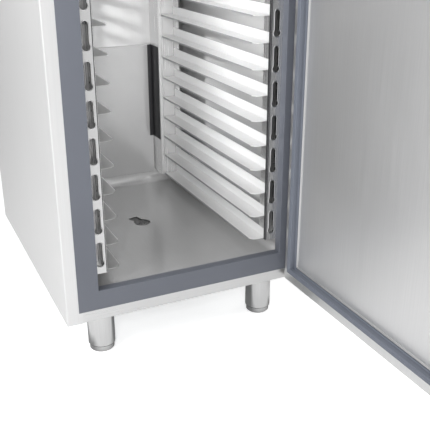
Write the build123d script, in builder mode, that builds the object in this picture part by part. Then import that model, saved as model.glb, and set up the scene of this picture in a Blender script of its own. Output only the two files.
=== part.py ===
from build123d import *
import math
import os

# Upright dough proofer retarder with one full-height door.
# Millimetres. The origin is on the floor under the middle of the cabinet,
# the front faces -Y and +X is on the right of someone facing it.

# Cabinet body
cabinet_width = 620.0
cabinet_depth = 735.0
leg_height = 115.0
box_height = 1680.0
compartment_height = 255.0
outer_sheet = 1.2
bend_radius = 2.6
sheet_gap = 0.1

# Folded edges of the side panels and the front rails
side_return = 36.4
rear_return = 20.0
strip_width = 28.2
rail_show = 27.7
rail_fold = 30.0

# Plastic frame round the opening
frame_side_width = 48.3
frame_end_width = 46.2
frame_proud = 1.0
frame_wall = 2.5
frame_jamb_depth = 20.9

# Cavity and its liner
side_wall = 60.0
cavity_floor_height = 64.2
rear_wall = 65.0
roof_insulation = 66.0
liner_sheet = 1.0
liner_flange = 12.0
cove_radius = 25.0
rear_corner_radius = 30.0
wall_gap = 0.3
foam_joint = 0.2

# Drain in the floor
drain_y_from_front = 352.5
drain_radius = 22.5
drain_tab_length = 46.0
drain_tab_width = 27.0
drain_tab_angle = 108.0
drain_recess = 3.0
drain_plate = 1.0
drain_spigot_radius = 14.0
drain_spigot_bore = 12.0
drain_spigot_drop = 25.0
drain_pipe_radius = 16.0
drain_well_half_width = 32.0
drain_well_front = 30.0
drain_well_back = 52.0
strainer_radius = 17.0
strainer_hole_radius = 2.0
strainer_hole_circle = 8.0
strainer_holes = 6

# Tray runners
runner_levels = 20
runner_pitch = 60.0
runner_first_top = 108.9
runner_sheet = 1.2
runner_wall_gap = 44.3
runner_web_height = 22.0
runner_flange = 38.1
runner_lip = 3.7
runner_front = 29.0
runner_end_gap = 4.0
runner_corner = 20.0
hook_length = 8.0
hook_height = 10.0
hook_rise = 6.0
hook_reach = 4.0
hook_play = 0.5
front_hook_y = 45.0

# Front uprights with keyhole slots
upright_front = 21.0
upright_depth = 39.0
upright_sheet = 1.2
upright_edge_from_wall = 46.0
upright_bottom = 105.0
upright_top = 1340.0
upright_slot_from_wall = 30.9
keyhole_radius = 8.7
keyhole_neck = 12.6
keyhole_height = 60.0
keyhole_pitch = 80.0
keyhole_first = 121.5
keyhole_levels = 15
round_end_sides = 12
small_round_sides = 8

# Rear columns that stop the trays
column_stand_off = 70.0
column_inner_from_wall = 90.0
column_forward = 38.0
column_bottom = 105.0
column_sheet = 1.2
column_bend = 2.4
bead_from_edge = 11.0
bead_radius = 3.0
bead_bottom = 140.0

# Lower rear panel and the air duct panel above it
lower_panel_bottom = 95.0
lower_panel_top = 495.5
panel_sheet = 1.0
lower_panel_side_gap = 5.0
lower_panel_fold = 6.0
duct_bottom = 720.0
duct_top = 1400.0
duct_depth = 32.0
duct_side_gap = 10.0
duct_slots = 8
duct_slot_length = 180.0
duct_slot_height = 12.0
duct_slot_pitch = 78.0

# Legs and adjustable feet
leg_from_side = 96.0
leg_from_front = 71.0
leg_from_back = 71.0
leg_radius = 32.4
leg_wall = 1.5
leg_plate = 3.0
foot_radius = 29.4
foot_show = 17.0
foot_cup_height = 42.0
foot_chamfer = 2.4
stem_radius = 8.0
stem_top = 100.0
stem_play = 0.05
boss_radius = 14.0
boss_height = 44.0

# Door
door_rim_from_side = 67.5
door_edge_from_front = -15.65
door_frame_gap = 19.3
door_lift = 9.0
door_top_gap = 9.0
door_thickness = 60.0
door_sheet = 1.0
door_edge_radius = 3.0
rim_width = 36.0
rim_lip = 3.0

# Gasket and the inner panel of the door
gasket_inset = 0.3
gasket_width = 12.9
gasket_proud = 18.0
gasket_groove = 4.0
gasket_waist = 2.4
gasket_ribs = 3
gasket_rib_height = 1.3
inner_panel_inset = 50.0
inner_panel_recess = 3.0
inner_panel_sheet = 1.0
bead_width = 3.0

# Hinges
hinge_plate = 5.0
hinge_flange = 3.0
hinge_width = 44.0
hinge_flange_height = 22.0
hinge_running_gap = 1.0
pin_radius = 5.0
pin_length = 26.0
pin_play = 0.05
bush_radius = 9.0
bush_length = 30.0
hinge_screw_radius = 3.5
hinge_screw_inset = 9.0

# Handle and lock
handle_from_free_edge = 62.0
handle_centre_height = 800.0
handle_length = 320.0
handle_radius = 11.0
handle_reach = 48.0
handle_bend = 26.0
handle_foot_radius = 18.0
handle_foot_height = 5.0
lock_below_handle = 70.0
lock_bezel_radius = 17.0
lock_bezel_height = 4.0
lock_radius = 10.0
lock_play = 0.05
lock_depth = 22.0
lock_proud = 2.0
keyway_length = 11.0
keyway_width = 2.2
keyway_depth = 6.0

# Control panel
control_depth = 79.3
control_sheet = 1.2
display_width = 92.0
display_height = 40.0
display_proud = 1.0
key_width = 22.0
key_height = 12.0
key_pitch = 34.0
key_proud = 2.5
key_travel = 1.5
key_play = 0.25
key_flange = 2.0
key_flange_thickness = 2.0
control_unit_depth = 34.0
key_row_drop = 46.0
display_centre_rise = 26.0
switch_x = -200.0
switch_width = 18.0
switch_height = 28.0
switch_play = 0.3
switch_tilt = 9.0
switch_pivot_depth = 6.0
switch_rise = 8.5
switch_dip = 7.0
switch_half_length = 12.6
switch_heel = 9.0
switch_bezel_width = 5.0
switch_bezel_proud = 1.6

# Refrigeration set in the upper compartment
compressor_from_side = 160.0
compressor_y = 150.0
compressor_radius = 82.0
compressor_height = 168.0
compressor_foot = 10.0
compressor_shoulder = 26.0
compressor_band = 4.0
compressor_plate_length = 190.0
compressor_plate_width = 130.0
grommet_radius = 12.0
condenser_from_side = 185.0
condenser_y = -150.0
condenser_width = 270.0
condenser_height = 190.0
condenser_depth = 56.0
condenser_fins = 13
fan_bay_depth = 34.0
shroud_sheet = 1.2
condenser_fan_radius = 84.0
fan_tip_gap = 4.0
fan_hub_radius = 27.0
fan_hub_length = 24.0
fan_blades = 5
blade_pitch = 28.0
blade_root_share = 0.6
blade_tip_share = 0.36
blade_thickness = 1.6
motor_radius = 24.0
motor_length = 46.0
shaft_radius = 4.0
shaft_play = 0.05
shaft_length = 30.0
shaft_end_gap = 2.0
humidifier_from_side = 120.0
humidifier_y = 215.0
humidifier_radius = 62.0
humidifier_height = 170.0
humidifier_shoulder = 16.0
humidifier_pipe_radius = 11.0
humidifier_pipe_rise = 30.0
grille_slots = 9
grille_slot_length = 420.0
grille_slot_height = 9.0
grille_slot_pitch = 21.0

# Evaporator under the cavity's roof
evaporator_drop = 192.0
evaporator_front = 330.0
evaporator_sheet = 1.2
evaporator_side_gap = 14.0
evaporator_coil_depth = 120.0
evaporator_coil_height = 130.0
evaporator_coil_back_gap = 40.0
evaporator_fins = 15
evaporator_fan_radius = 66.0
heater_radius = 4.2
heater_side_gap = 10.0
heater_rise = 34.0
heater_gap = 14.0
heater_bend = 16.0
coil_side_gap = 36.0
coil_end_plate = 2.0
coil_slab = 16.0
coil_slab_pitch = 60.0
fin_thickness = 1.0
cover_slots = 5
cover_slot_pitch = 30.0

# Cable gland on the rear
gland_from_side = 90.0
gland_height = 70.0
gland_radius = 13.0
gland_length = 24.0
gland_nut_across = 27.0
gland_nut_length = 7.0
gland_bore = 5.0

# Top cover of the compartment
lid_edge = 18.0

# Places worked out from the sizes above
half_width = cabinet_width / 2
front_y = -cabinet_depth / 2
back_y = cabinet_depth / 2
box_bottom_z = leg_height
box_top_z = box_bottom_z + box_height
cabinet_top_z = box_top_z + compartment_height
box_mid_z = (box_bottom_z + box_top_z) / 2
opening_half_width = half_width - strip_width - frame_side_width
opening_height = box_height - 2 * (rail_show + frame_end_width)
base_top_z = box_bottom_z + 2 * outer_sheet + sheet_gap
roof_bottom_z = box_top_z - outer_sheet
inner_half_width = half_width - outer_sheet - sheet_gap
cavity_half_width = half_width - side_wall
cavity_depth_end = cabinet_depth - rear_wall
sheet_half_width = half_width - outer_sheet - bend_radius
cavity_front_y = front_y + frame_wall
cavity_back_y = front_y + cavity_depth_end
cavity_floor_z = box_bottom_z + cavity_floor_height
cavity_ceiling_z = box_top_z - roof_insulation
drain_tray_z = cavity_floor_z - drain_recess - drain_plate
foam_front_y = cavity_front_y + liner_sheet
foam_back_y = back_y - 2 * outer_sheet - sheet_gap
drain_y = front_y + drain_y_from_front
column_face = cavity_depth_end - column_stand_off
runner_back_y = front_y + column_face - runner_end_gap
rear_hook_y = column_face - column_forward / 2
runner_web_x = cavity_half_width - runner_wall_gap
side_plate_x = runner_web_x + runner_sheet + sheet_gap
upright_edge_x = cavity_half_width - upright_edge_from_wall
upright_slot_x = cavity_half_width - upright_slot_from_wall
column_inner_x = cavity_half_width - column_inner_from_wall
bead_x = column_inner_x + bead_from_edge
lower_panel_half_width = column_inner_x - lower_panel_side_gap
duct_half_width = column_inner_x - duct_side_gap
leg_x = half_width - leg_from_side
evaporator_half_width = cavity_half_width - evaporator_side_gap
evaporator_fan_x = evaporator_half_width / 2
coil_half_width = evaporator_half_width - coil_side_gap
heater_half_width = coil_half_width - heater_side_gap
door_rim_x = half_width - door_rim_from_side
compressor_x = compressor_from_side - half_width
condenser_x = half_width - condenser_from_side
humidifier_x = half_width - humidifier_from_side
gland_x = gland_from_side - half_width
hinge_x = (half_width + door_rim_x - door_edge_from_front - door_frame_gap) / 2
hinge_y_from_front = hinge_x - door_rim_x + door_frame_gap
hinge_y = front_y - hinge_y_from_front
door_edge_y = front_y + door_edge_from_front
door_bottom_z = box_bottom_z + door_lift
door_height = box_height - door_lift - door_top_gap
control_front_y = front_y - control_depth
shaft_bore_depth = shaft_length + shaft_end_gap - (fan_bay_depth - fan_hub_length) / 2


def facing_front(y):
    """Plane that faces the front, with X to the right and Z up."""
    return Plane.XZ.offset(-y)


def facing_side(x):
    """Plane that faces +X, with Y to the right and Z up."""
    return Plane.YZ.offset(x)


def fold_line(*points, radius):
    """Centre line of a folded sheet, with a bend at each inner point."""
    with BuildLine(mode=Mode.PRIVATE) as centre:
        FilletPolyline(*points, radius=radius)
    return centre.line


def round_ended_slot(length, width):
    """Slot outline whose ends are turned with a few straight sides."""
    with BuildSketch() as outline:
        Rectangle(length - width, width)
        with GridLocations(length - width, 0, 2, 1):
            RegularPolygon(width / 2, round_end_sides)
    return outline.sketch


def save(piece, name):
    """Name a finished piece and write it out."""
    piece.part.label = name
    export_step(piece.part, f"parts/{name}.step")


os.makedirs("parts", exist_ok=True)


# Outer side panels, folded round the front and the rear edge
def side_panel(side):
    outer_x = side * (half_width - outer_sheet / 2)
    front_edge_y = front_y + outer_sheet / 2
    rear_edge_y = back_y - outer_sheet / 2
    with BuildPart() as panel:
        with BuildSketch(Plane.XY.offset(box_bottom_z)):
            centre = fold_line(
                (side * (half_width - side_return), front_edge_y),
                (outer_x, front_edge_y),
                (outer_x, rear_edge_y),
                (side * (half_width - rear_return), rear_edge_y),
                radius=bend_radius,
            )
            trace(centre, line_width=outer_sheet)
        extrude(amount=box_height + compartment_height - outer_sheet)
    return panel


side_panel_left = side_panel(-1)
save(side_panel_left, "side_panel_left")
side_panel_right = side_panel(1)
save(side_panel_right, "side_panel_right")

# Front rails under and over the plastic frame, folded back at the outer edge
rail_face = side_return
rail_half_length = half_width - side_return
with BuildPart() as front_rails:
    with BuildSketch(facing_side(-rail_half_length)):
        for end, edge_z in ((1, box_bottom_z), (-1, box_top_z)):
            face_y = front_y + outer_sheet / 2
            fold_z = edge_z + end * outer_sheet / 2
            centre = fold_line(
                (face_y, edge_z + end * rail_face),
                (face_y, fold_z),
                (front_y + rail_fold, fold_z),
                radius=bend_radius,
            )
            trace(centre, line_width=outer_sheet)
    extrude(amount=2 * rail_half_length)
save(front_rails, "front_rails")

# Rear outer panel, behind the insulation
with BuildPart() as back_panel:
    with BuildSketch(facing_front(back_y - 2 * outer_sheet)):
        with Locations((0, box_mid_z)):
            Rectangle(2 * sheet_half_width, box_height)
    extrude(amount=-outer_sheet)
save(back_panel, "back_panel")


def drain_outline(growth):
    """Round drain recess with its square tab, grown by a wall."""
    with BuildSketch(mode=Mode.PRIVATE) as outline:
        with Locations((0, drain_y)):
            Circle(drain_radius + growth)
        with Locations(Location((0, drain_y), drain_tab_angle)):
            Rectangle(
                drain_tab_length + growth,
                drain_tab_width + 2 * growth,
                align=(Align.MIN, Align.CENTER),
            )
    return outline.sketch


# Base panel under the insulation, with the drain passing through it
with BuildPart() as base_panel:
    with BuildSketch(Plane.XY.offset(box_bottom_z + outer_sheet)):
        base_front_y = front_y + outer_sheet + bend_radius
        with Locations((0, (base_front_y + foam_back_y) / 2)):
            Rectangle(2 * sheet_half_width, foam_back_y - base_front_y)
        with Locations((0, drain_y)):
            Circle(drain_pipe_radius + sheet_gap, mode=Mode.SUBTRACT)
    extrude(amount=outer_sheet)
save(base_panel, "base_panel")

# Roof panel of the insulated box
with BuildPart() as roof_panel:
    with BuildSketch(Plane.XY.offset(roof_bottom_z)):
        roof_front_y = front_y + rail_fold + sheet_gap
        with Locations((0, (roof_front_y + foam_back_y) / 2)):
            Rectangle(2 * sheet_half_width, foam_back_y - roof_front_y)
    extrude(amount=outer_sheet)
save(roof_panel, "roof_panel")


def cavity_form(growth):
    """Cavity with coved floor edges and rounded rear corners, grown by a wall."""
    depth = cavity_back_y + growth - cavity_front_y
    with BuildPart() as form:
        with BuildSketch(Plane.XY.offset(cavity_floor_z - growth)):
            with Locations((0, cavity_front_y + depth / 2)):
                Rectangle(2 * (cavity_half_width + growth), depth)
        extrude(amount=cavity_ceiling_z - cavity_floor_z + 2 * growth)
        rear_corners = form.edges().filter_by(Axis.Z).group_by(Axis.Y)[-1]
        fillet(rear_corners, radius=rear_corner_radius + growth)
        floor_edges = form.faces().sort_by(Axis.Z)[0].edges().sort_by(Axis.Y)[1:]
        fillet(floor_edges, radius=cove_radius + growth)
    return form.part


# Inner liner: coved stainless tub with a flange round its mouth
with BuildPart() as inner_liner:
    add(cavity_form(liner_sheet))
    liner_half = cavity_half_width + liner_flange
    cavity_mid_z = (cavity_floor_z + cavity_ceiling_z) / 2
    with BuildSketch(facing_front(cavity_front_y)):
        with Locations((0, cavity_mid_z)):
            Rectangle(2 * liner_half, cavity_ceiling_z - cavity_floor_z + 2 * liner_flange)
    extrude(amount=-liner_sheet)
    add(cavity_form(0), mode=Mode.SUBTRACT)
    with BuildSketch(Plane.XY.offset(cavity_floor_z - liner_sheet)):
        add(drain_outline(sheet_gap))
    extrude(amount=2 * liner_sheet, mode=Mode.SUBTRACT)
save(inner_liner, "inner_liner")

# Foam slabs between the outer sheets and the liner, with a square well for the drain
foam_floor_z = cavity_floor_z - liner_sheet
foam_ceiling_z = cavity_ceiling_z + liner_sheet
foam_wall_x = cavity_half_width + liner_sheet
foam_wall_y = cavity_back_y + liner_sheet
foam_slab_half = foam_wall_x - foam_joint
foam_mid_y = (foam_front_y + foam_back_y) / 2
foam_depth = foam_back_y - foam_front_y
well_front_y = drain_y - drain_well_front
well_back_y = drain_y + drain_well_back
with BuildPart() as insulation:
    with BuildSketch(Plane.XY.offset(base_top_z)):
        wall_foam = inner_half_width - foam_wall_x
        with Locations((0, foam_mid_y)):
            with GridLocations(inner_half_width + foam_wall_x, 0, 2, 1):
                Rectangle(wall_foam, foam_depth)
    extrude(amount=roof_bottom_z - base_top_z)
    rear_edges = insulation.edges().filter_by(Axis.Z).group_by(Axis.Y)[-1].sort_by(Axis.X)
    fillet([rear_edges[0], rear_edges[-1]], radius=bend_radius)
    with BuildSketch(Plane.XY.offset(foam_floor_z + foam_joint)):
        with Locations((0, (foam_wall_y + foam_back_y) / 2)):
            Rectangle(2 * foam_slab_half, foam_back_y - foam_wall_y)
    extrude(amount=foam_ceiling_z - foam_floor_z - 2 * foam_joint)
    with BuildSketch(Plane.XY.offset(foam_ceiling_z)):
        with Locations((0, foam_mid_y)):
            Rectangle(2 * foam_slab_half, foam_depth)
    extrude(amount=roof_bottom_z - foam_ceiling_z)
    with BuildSketch(Plane.XY.offset(base_top_z)):
        with Locations((0, (foam_front_y + well_front_y) / 2)):
            Rectangle(2 * foam_slab_half, well_front_y - foam_front_y)
        with Locations((0, (well_back_y + foam_back_y) / 2)):
            Rectangle(2 * foam_slab_half, foam_back_y - well_back_y)
        with Locations((0, (well_front_y + well_back_y) / 2)):
            with GridLocations(foam_slab_half + drain_well_half_width, 0, 2, 1):
                beside_length = well_back_y - well_front_y - 2 * foam_joint
                Rectangle(foam_slab_half - drain_well_half_width, beside_length)
    extrude(amount=foam_floor_z - base_top_z)
save(insulation, "insulation")

# Drain fitting: shallow tray in the floor, a pipe through the base and a hose tail
with BuildPart() as drain_fitting:
    with BuildSketch(Plane.XY.offset(drain_tray_z)):
        add(drain_outline(0))
    extrude(amount=drain_recess + drain_plate - liner_sheet)
    with BuildSketch(Plane.XY.offset(drain_tray_z + drain_plate)):
        add(drain_outline(-drain_plate))
    extrude(amount=drain_recess, mode=Mode.SUBTRACT)
    with BuildSketch(Plane.XY.offset(box_bottom_z - drain_spigot_drop)):
        with Locations((0, drain_y)):
            Circle(drain_spigot_radius)
    extrude(amount=drain_spigot_drop)
    with BuildSketch(Plane.XY.offset(box_bottom_z)):
        with Locations((0, drain_y)):
            Circle(drain_pipe_radius)
    extrude(amount=drain_tray_z - box_bottom_z)
    with BuildSketch(Plane.XY.offset(box_bottom_z - drain_spigot_drop)):
        with Locations((0, drain_y)):
            Circle(drain_spigot_bore)
    extrude(amount=drain_tray_z - box_bottom_z + drain_spigot_drop + drain_plate, mode=Mode.SUBTRACT)
save(drain_fitting, "drain_fitting")

# Perforated disc over the drain's bore
with BuildPart() as drain_strainer:
    with BuildSketch(Plane.XY.offset(drain_tray_z + drain_plate)):
        with Locations((0, drain_y)):
            Circle(strainer_radius)
            with PolarLocations(strainer_hole_circle, strainer_holes):
                RegularPolygon(strainer_hole_radius, small_round_sides, mode=Mode.SUBTRACT)
    extrude(amount=drain_plate)
save(drain_strainer, "drain_strainer")

# Plastic frame round the opening: lip over the sheets, wall and jambs
frame_back_half = half_width - side_return - sheet_gap
frame_back_height = box_height - 2 * (side_return + sheet_gap)
with BuildPart() as door_frame:
    with BuildSketch(facing_front(front_y)):
        with Locations((0, box_mid_z)):
            Rectangle(2 * (half_width - strip_width), box_height - 2 * rail_show)
            Rectangle(2 * opening_half_width, opening_height, mode=Mode.SUBTRACT)
    extrude(amount=frame_proud)
    with BuildSketch(facing_front(front_y)):
        with Locations((0, box_mid_z)):
            Rectangle(2 * frame_back_half, frame_back_height)
            Rectangle(2 * opening_half_width, opening_height, mode=Mode.SUBTRACT)
    extrude(amount=-frame_wall)
    with BuildSketch(facing_front(front_y)):
        with Locations((0, box_mid_z)):
            Rectangle(2 * (opening_half_width + frame_wall), opening_height + 2 * frame_wall)
            Rectangle(2 * opening_half_width, opening_height, mode=Mode.SUBTRACT)
    extrude(amount=-frame_jamb_depth)
    mouth_edges = door_frame.faces().sort_by(Axis.Y)[0].inner_wires()[0].edges()
    fillet(mouth_edges, radius=frame_proud)
save(door_frame, "door_frame")

# Low panel on the liner's rear wall, its top edge folded back to the wall
with BuildPart() as rear_low_panel:
    panel_y = cavity_back_y - lower_panel_fold
    with BuildSketch(facing_side(-lower_panel_half_width)):
        centre = fold_line(
            (cavity_back_y - wall_gap, box_bottom_z + lower_panel_bottom),
            (panel_y, box_bottom_z + lower_panel_bottom),
            (panel_y, box_bottom_z + lower_panel_top),
            (cavity_back_y - wall_gap, box_bottom_z + lower_panel_top),
            radius=2 * panel_sheet,
        )
        trace(centre, line_width=panel_sheet)
    extrude(amount=2 * lower_panel_half_width)
save(rear_low_panel, "rear_low_panel")

# Air duct panel above it, a folded channel with intake slots
with BuildPart() as air_duct_panel:
    duct_front_y = cavity_back_y - duct_depth
    with BuildSketch(Plane.XY.offset(box_bottom_z + duct_bottom)):
        centre = fold_line(
            (-duct_half_width, cavity_back_y - wall_gap),
            (-duct_half_width, duct_front_y),
            (duct_half_width, duct_front_y),
            (duct_half_width, cavity_back_y - wall_gap),
            radius=4 * panel_sheet,
        )
        trace(centre, line_width=panel_sheet)
    extrude(amount=duct_top - duct_bottom)
    with BuildSketch(facing_front(duct_front_y + duct_depth / 2)):
        with Locations((0, box_bottom_z + (duct_bottom + duct_top) / 2)):
            with GridLocations(0, duct_slot_pitch, 1, duct_slots):
                add(round_ended_slot(duct_slot_length, duct_slot_height))
    extrude(amount=duct_depth, mode=Mode.SUBTRACT)
save(air_duct_panel, "air_duct_panel")


# Front uprights: slotted channels behind the jambs
def upright(side):
    plate_y = front_y + upright_front + upright_sheet / 2
    rear_y = front_y + upright_front + upright_depth
    wall_x = side * (cavity_half_width - wall_gap)
    plate_x = side * (side_plate_x + upright_sheet / 2)
    bottom_z = box_bottom_z + upright_bottom
    with BuildPart() as post:
        with BuildSketch(Plane.XY.offset(bottom_z)):
            centre = fold_line(
                (wall_x, plate_y),
                (plate_x, plate_y),
                (plate_x, rear_y),
                (wall_x, rear_y),
                radius=2 * upright_sheet,
            )
            trace(centre, line_width=upright_sheet)
            edge_mid_x = side * (upright_edge_x + side_plate_x + 2 * upright_sheet) / 2
            with Locations((edge_mid_x, plate_y)):
                Rectangle(side_plate_x + 2 * upright_sheet - upright_edge_x, upright_sheet)
        extrude(amount=upright_top - upright_bottom)
        with BuildSketch(facing_front(plate_y + upright_sheet)):
            for level in range(keyhole_levels):
                slot_z = box_bottom_z + keyhole_first + level * keyhole_pitch
                with Locations((side * upright_slot_x, slot_z + keyhole_radius)):
                    RegularPolygon(keyhole_radius, round_end_sides)
                with Locations(Location((side * upright_slot_x, slot_z + keyhole_height / 2), 90)):
                    add(round_ended_slot(keyhole_height, keyhole_neck))
        extrude(amount=2 * upright_sheet, mode=Mode.SUBTRACT)
        add(hook_slots(front_hook_y, side), mode=Mode.SUBTRACT)
    return post


def hook_slots(y_from_front, side):
    """Blocks that cut one slot per runner into a side plate."""
    with BuildPart() as slots:
        with BuildSketch(facing_side(side * side_plate_x)):
            for level in range(runner_levels):
                hook_z = box_bottom_z + runner_first_top + level * runner_pitch + hook_rise
                with Locations((front_y + y_from_front, hook_z + hook_height / 2)):
                    Rectangle(hook_length + 2 * hook_play, hook_height + 2 * hook_play)
        extrude(amount=2 * upright_sheet, both=True)
    return slots.part


upright_left = upright(-1)
save(upright_left, "upright_left")
upright_right = upright(1)
save(upright_right, "upright_right")


# Rear columns: folded sheets that stop the trays and hold the runners' rear ends
def rear_column(side):
    face_y = front_y + column_face + column_sheet / 2
    plate_x = side * (side_plate_x + column_sheet / 2)
    bottom_z = box_bottom_z + column_bottom
    height = upright_top - column_bottom
    with BuildPart() as column:
        with BuildSketch(Plane.XY.offset(bottom_z)):
            centre = fold_line(
                (side * column_inner_x, cavity_back_y - wall_gap),
                (side * column_inner_x, face_y),
                (plate_x, face_y),
                (plate_x, front_y + column_face - column_forward),
                radius=column_bend,
            )
            trace(centre, line_width=column_sheet)
        extrude(amount=height)
        with BuildSketch(Plane.XY.offset(box_bottom_z + bead_bottom)):
            with Locations((side * bead_x, front_y + column_face)):
                Circle(bead_radius)
        extrude(amount=upright_top - bead_bottom)
        bead_end = column.faces().filter_by(Plane.XY).group_by(Axis.Z)[1]
        chamfer(bead_end.edges().filter_by(GeomType.CIRCLE), length=bead_radius / 2)
        add(hook_slots(rear_hook_y, side), mode=Mode.SUBTRACT)
    return column


rear_column_left = rear_column(-1)
save(rear_column_left, "rear_column_left")
rear_column_right = rear_column(1)
save(rear_column_right, "rear_column_right")


# Tray runners: one folded rail per level with a lip, a rounded front corner and two hooks
def runners(side):
    web_x = runner_web_x + runner_sheet / 2
    edge_x = runner_web_x - runner_flange
    length = runner_back_y - front_y - runner_front
    with BuildPart() as rails:
        with BuildSketch(facing_front(front_y + runner_front)):
            for level in range(runner_levels):
                top_z = box_bottom_z + runner_first_top + level * runner_pitch
                with BuildLine(mode=Mode.PRIVATE) as centre:
                    Polyline(
                        (side * web_x, top_z + runner_web_height),
                        (side * web_x, top_z - runner_sheet / 2),
                        (side * (edge_x + runner_sheet / 2), top_z - runner_sheet / 2),
                        (side * (edge_x + runner_sheet / 2), top_z - runner_lip),
                    )
                trace(centre.line, line_width=runner_sheet)
        extrude(amount=-length)
        with BuildSketch(Plane.XY.offset(box_bottom_z)):
            corner_x = side * (edge_x + runner_corner / 2)
            with Locations((corner_x, front_y + runner_front + runner_corner / 2)):
                Rectangle(runner_corner, runner_corner)
            arc_centre = (side * (edge_x + runner_corner), front_y + runner_front + runner_corner)
            with Locations(arc_centre):
                RegularPolygon(runner_corner, round_end_sides, mode=Mode.SUBTRACT)
        extrude(amount=box_height, mode=Mode.SUBTRACT)
        with BuildSketch(facing_side(side * (runner_web_x + runner_sheet / 2))):
            for level in range(runner_levels):
                hook_z = box_bottom_z + runner_first_top + level * runner_pitch + hook_rise
                for hook_y in (front_hook_y, rear_hook_y):
                    with Locations((front_y + hook_y, hook_z + hook_height / 2)):
                        Rectangle(hook_length, hook_height)
        extrude(amount=side * hook_reach)
    return rails


runners_left = runners(-1)
save(runners_left, "runners_left")
runners_right = runners(1)
save(runners_right, "runners_right")


# Legs: steel sleeve with a threaded boss, and the foot that screws into it
def leg(x, y):
    with BuildPart() as sleeve:
        top_z = box_bottom_z + outer_sheet
        with BuildSketch(Plane.XY.offset(foot_show)):
            with Locations((x, y)):
                Circle(leg_radius)
                Circle(leg_radius - leg_wall, mode=Mode.SUBTRACT)
        extrude(amount=top_z - foot_show)
        with BuildSketch(Plane.XY.offset(top_z - leg_plate)):
            with Locations((x, y)):
                Circle(leg_radius - leg_wall / 2)
        extrude(amount=leg_plate)
        with BuildSketch(Plane.XY.offset(top_z - boss_height)):
            with Locations((x, y)):
                Circle(boss_radius)
        extrude(amount=boss_height)
        with BuildSketch(Plane.XY.offset(top_z - boss_height)):
            with Locations((x, y)):
                Circle(stem_radius + stem_play)
        extrude(amount=boss_height - leg_plate, mode=Mode.SUBTRACT)
    return sleeve


def foot(x, y):
    with BuildPart() as cup:
        with BuildSketch(Plane.XY):
            with Locations((x, y)):
                Circle(foot_radius)
        extrude(amount=foot_cup_height)
        chamfer(cup.edges().group_by(Axis.Z)[0], length=foot_chamfer)
        with BuildSketch(Plane.XY.offset(foot_cup_height)):
            with Locations((x, y)):
                Circle(stem_radius)
        extrude(amount=stem_top - foot_cup_height)
    return cup


leg_front_y = front_y + leg_from_front
leg_rear_y = back_y - leg_from_back
for corner, corner_x, corner_y in (
    ("front_left", -leg_x, leg_front_y),
    ("front_right", leg_x, leg_front_y),
    ("rear_left", -leg_x, leg_rear_y),
    ("rear_right", leg_x, leg_rear_y),
):
    save(leg(corner_x, corner_y), f"leg_{corner}")
    save(foot(corner_x, corner_y), f"foot_{corner}")


# Door, drawn open at a right angle. In its planes X runs from the hinge edge
# to the free edge, Y runs up and the normal points out of the inner face.
def door_plane(level):
    """Plane parallel to the door at a level above its rim."""
    origin = (door_rim_x - level, door_edge_y, door_bottom_z)
    return Plane(origin=origin, x_dir=(0, -1, 0), z_dir=(-1, 0, 0))


door_middle = (half_width, door_height / 2)


def door_rectangle(inset):
    """Rectangle at one inset from all four edges of the door."""
    with Locations(door_middle):
        Rectangle(cabinet_width - 2 * inset, door_height - 2 * inset)


lock_height = handle_centre_height - handle_length / 2 - lock_below_handle
lock_place = (cabinet_width - handle_from_free_edge, lock_height)


def hinge_axis_circle(radius):
    """Circle round the hinge axis, in a horizontal sketch."""
    with Locations((hinge_x, hinge_y)):
        Circle(radius)


# Outer pan of the door with its rim folded inwards
with BuildPart() as door_outer_skin:
    with BuildSketch(door_plane(-door_thickness)):
        door_rectangle(0)
    extrude(amount=door_thickness)
    pan_corners = door_outer_skin.edges().filter_by(Axis.X)
    outer_face = door_outer_skin.faces().sort_by(Axis.X)[-1]
    fillet(pan_corners + outer_face.edges(), radius=door_edge_radius)
    with BuildSketch(door_plane(-door_thickness + door_sheet)):
        door_rectangle(door_sheet)
    extrude(amount=door_thickness - 2 * door_sheet, mode=Mode.SUBTRACT)
    with BuildSketch(door_plane(-door_sheet)):
        door_rectangle(rim_width)
    extrude(amount=door_sheet, mode=Mode.SUBTRACT)
    with BuildSketch(door_plane(-door_sheet - rim_lip)):
        door_rectangle(rim_width - door_sheet)
        with Locations(door_middle):
            Rectangle(
                cabinet_width - 2 * rim_width,
                door_height - 2 * rim_width,
                mode=Mode.SUBTRACT,
            )
    extrude(amount=rim_lip)
    with BuildSketch(Plane.XY.offset(door_bottom_z)):
        hinge_axis_circle(bush_radius)
    extrude(amount=door_height, mode=Mode.SUBTRACT)
    with BuildSketch(door_plane(-door_thickness)):
        with Locations(lock_place):
            Circle(lock_radius + lock_play)
    extrude(amount=2 * door_sheet, mode=Mode.SUBTRACT)
save(door_outer_skin, "door_outer_skin")

# Foam core of the door, cut back for the folded lip and the gasket's groove
with BuildPart() as door_core:
    core_level = -inner_panel_recess - inner_panel_sheet
    with BuildSketch(door_plane(-door_thickness + door_sheet)):
        door_rectangle(door_sheet)
    extrude(amount=door_thickness - 2 * door_sheet)
    with BuildSketch(door_plane(core_level)):
        door_rectangle(rim_width - door_sheet)
    extrude(amount=-core_level, mode=Mode.SUBTRACT)
    with BuildSketch(Plane.XY.offset(door_bottom_z)):
        hinge_axis_circle(bush_radius)
    extrude(amount=bush_length, mode=Mode.SUBTRACT)
    with BuildSketch(Plane.XY.offset(door_bottom_z + door_height - bush_length)):
        hinge_axis_circle(bush_radius)
    extrude(amount=bush_length, mode=Mode.SUBTRACT)
    with BuildSketch(door_plane(-door_thickness)):
        with Locations(lock_place):
            Circle(lock_radius + lock_play)
    extrude(amount=lock_depth + lock_play, mode=Mode.SUBTRACT)
save(door_core, "door_core")

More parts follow.
